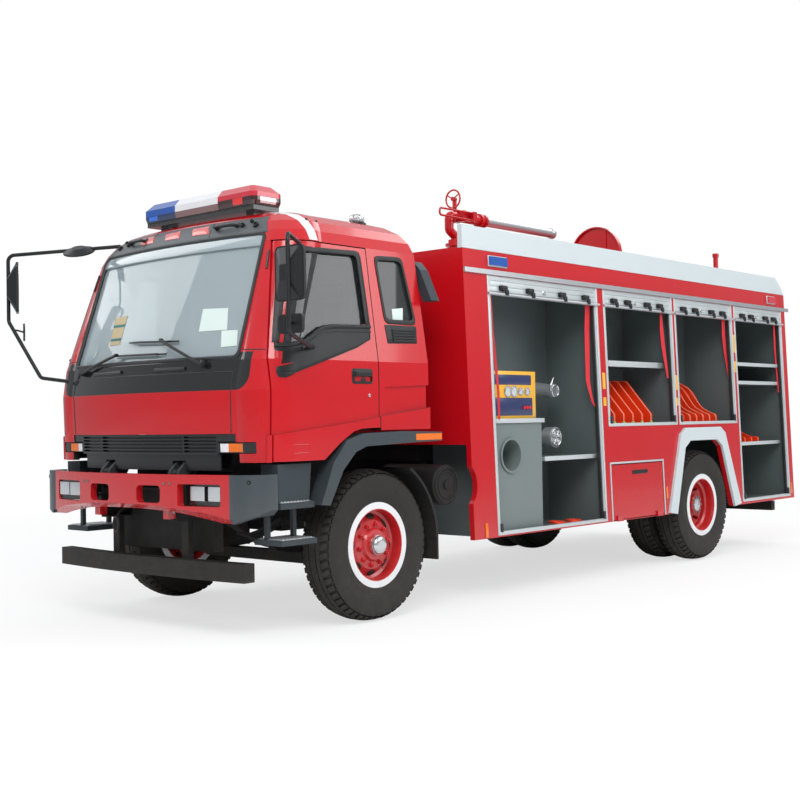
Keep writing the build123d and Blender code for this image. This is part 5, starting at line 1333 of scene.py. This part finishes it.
def add_wheels():
    """Tyres with tread in place of the plain ones, wheel nuts, hub caps, and thin dark ovals painted as the shade
    inside the front discs' hand holes.
    """
    pattern = add_tyre()
    for tyres, bodies, across, y in (("front_tyre", FRONT_WHEELS, (FRONT_WHEEL_X,), FRONT_AXLE_Y),
                                     ("rear_tyres", REAR_WHEELS, (REAR_OUTER_X, REAR_INNER_X), REAR_AXLE_Y)):
        for body, word, side in zip(bodies, ("left", "right"), (1, -1)):
            node = f"{tyres}_{word}"
            tyre = [copy_piece(pattern, (side * x, y, TYRE_R)) for x in across]
            tyre = finish_piece(tyre, f"treaded_{node}", tyre_rubber, body, 30)
            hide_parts(node)
    select_only(pattern)
    bpy.ops.object.delete()
    nuts, hole_shades = [], []
    for i in range(NUTS):
        angle = 2 * pi * i / NUTS + 0.15
        nuts.append(add_disc(about_axle(FRONT_HUB, FRONT_NUT_CIRCLE, angle, 0.056), OUT, 0.018, 0.034, 0.004, 6))
        nuts.append(add_disc(about_axle(FRONT_HUB, FRONT_NUT_CIRCLE, angle, 0.088), OUT, 0.010, 0.014, 0.003, 12))
    # Thin dark ovals over the front discs' round holes: painted shade for larger, dark hand holes
    for i in range(HOLES):
        angle = 2 * pi * i / HOLES
        out = Vector((0, cos(angle), sin(angle)))
        facing = (out * 0.62 + Vector((0.78, 0, 0))).normalized()
        hole_shade = add_disc((0, 0, 0), UP, 0.030, 0.003, 0.001, 24)
        across = facing.cross(out).normalized()
        turn = turn_from(across, facing.cross(across), facing)
        hole_shade.scale = (1.25, 0.85, 1)
        apply_place(hole_shade)
        hole_shade.matrix_world = Matrix.Translation(Vector((1.0768, FRONT_AXLE_Y, TYRE_R)) + out * HOLE_CIRCLE) @ turn
        apply_place(hole_shade)
        hole_shades.append(hole_shade)
    finish_pair(nuts, "front_wheel_nuts", red_paint, FRONT_WHEELS)
    finish_pair(hole_shades, "hand_hole_shades", chassis_black, FRONT_WHEELS)
    cap = add_turned([(0.120, 0.001), (0.170, 0.001), (0.176, 0.030), (0.172, 0.052), (0.164, 0.060), (0.150, 0.066),
                      (0.100, 0.070), (0.100, 0.060), (0.120, 0.055)],
                     (FRONT_WHEEL_X - 0.018, FRONT_AXLE_Y, TYRE_R), 48)
    finish_pair(cap, "front_hub_caps", bright_steel, FRONT_WHEELS)
    studs = [add_disc(about_axle(REAR_HUB, REAR_NUT_CIRCLE, 2 * pi * i / NUTS, -0.030), OUT, 0.012, 0.100, 0.003, 6)
             for i in range(NUTS)]
    hub = add_disc((REAR_OUTER_X + 0.050, REAR_AXLE_Y, TYRE_R), OUT, 0.062, 0.020, 0.006, 32, 0.006)
    finish_pair(studs, "rear_wheel_studs", steel, REAR_WHEELS)
    finish_pair(hub, "rear_hub_caps", bright_steel, REAR_WHEELS)


# Seats and mirrors


def add_cushion(low, high, crown_by):
    """A crowned cushion between two corners: full in its middle, pulled in between its corners."""
    piece = add_block(low, high, 0.035, 3)
    edit_all(piece, (bpy.ops.mesh.subdivide, {"number_cuts": 3}))
    middle = (Vector(low) + Vector(high)) / 2
    half = (Vector(high) - Vector(low)) / 2
    thin = min(range(3), key=lambda i: half[i])
    wide = [i for i in range(3) if i != thin]
    for vertex in piece.data.vertices:
        share = [(vertex.co[i] - middle[i]) / half[i] for i in range(3)]
        bulge = (1 - share[wide[0]] ** 2) * (1 - share[wide[1]] ** 2)
        vertex.co[thin] += crown_by * bulge * share[thin]
        for i, j in (wide, wide[::-1]):
            vertex.co[i] -= share[i] ** 3 * 0.012 * (1 - share[j] ** 2)
    use_modifier(piece, "SUBSURF", levels=1, render_levels=1)
    return piece


def add_seats():
    """Three seats with crowned cushions, piped edges and head rests."""
    cushions = []
    piping = []
    for x, half in ((-0.72, 0.21), (0.72, 0.21), (0.0, 0.16)):
        foot = 1.512 if x == 0 else 1.365
        cushions.append(add_cushion((x - half, -2.985, foot + 0.02), (x + half, -2.585, 1.615), 0.018))
        cushions.append(add_cushion((x - half, -2.650, 1.620), (x + half, -2.555, 2.060), 0.014))
        cushions.append(add_cushion((x - half * 0.55, -2.645, 2.060), (x + half * 0.55, -2.560, 2.280), 0.012))
        for z in (1.75, 1.90):
            piping.append(add_rod([(x - half * 0.85, -2.662, z), (x, -2.668, z), (x + half * 0.85, -2.662, z)], 0.004))
        piping.append(add_block((x - half * 0.9, -2.960, foot + 0.001), (x + half * 0.9, -2.600, foot + 0.03), 0.006))
    for cushion, place in zip(cushions, [f"{side}_{part}" for side in ("right", "left", "middle")
                                         for part in ("cushion", "back", "head_rest")]):
        finish_piece(cushion, f"seat_{place}", seat_cloth, "cab", 60)
    trim = finish_piece(piping, "seat_frames", black_plastic, "cab")
    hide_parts("seats")


def add_mirror_glass():
    """The mirrors' glass, on the side that faces the driver."""
    glass = [add_block((1.312, -3.7235, 2.146), (1.548, -3.7205, 2.466), 0.001),
             add_block((1.305, -3.6915, 1.946), (1.495, -3.6885, 2.046), 0.001)]
    finish_piece(glass, "mirror_glass_left", mirror_glass, "door_left")
    out = Vector((-0.52, -0.854, 0))
    turned = []
    for place, width, height in (((-1.450, -3.850, 2.443), 0.205, 0.355), ((-1.430, -3.812, 2.105), 0.104, 0.114)):
        plate = add_block((-width / 2, -height / 2, -0.0015), (width / 2, height / 2, 0.0015), 0.001)
        plate.matrix_world = Matrix.Translation(place) @ turn_from(Vector(UP).cross(out), UP, out)
        apply_place(plate)
        close_up(plate)
        turned.append(plate)
    finish_piece(turned, "mirror_glass_right", mirror_glass, "cab")


DRUM_END = (1.130, -1.890, 0.903)


def add_drum_end():
    """The rings pressed into the end of the air drum."""
    rings = [add_ring(DRUM_END, OUT, 0.128, 0.010), add_ring(DRUM_END, OUT, 0.098, 0.006),
             add_disc((1.128, -1.890, 0.903), OUT, 0.034, 0.016, 0.006)]
    finish_piece(rings, "drum_rings", chassis_black, "chassis")


def add_all_pieces():
    """Every added piece."""
    for add in (add_windscreen_trim, add_visor, add_wipers, add_papers_and_mirror, add_bumper_parts, add_door_trim,
                add_quarter_trim, add_roof_parts, add_shutters, add_bay_frames, add_straps, add_side_marks,
                add_pump_parts, add_rack_trim, add_wheels, add_seats, add_mirror_glass, add_drum_end):
        add()


dress_solids()
add_all_pieces()
add_camera()
add_studio()
bpy.context.scene.view_settings.view_transform = "Standard"
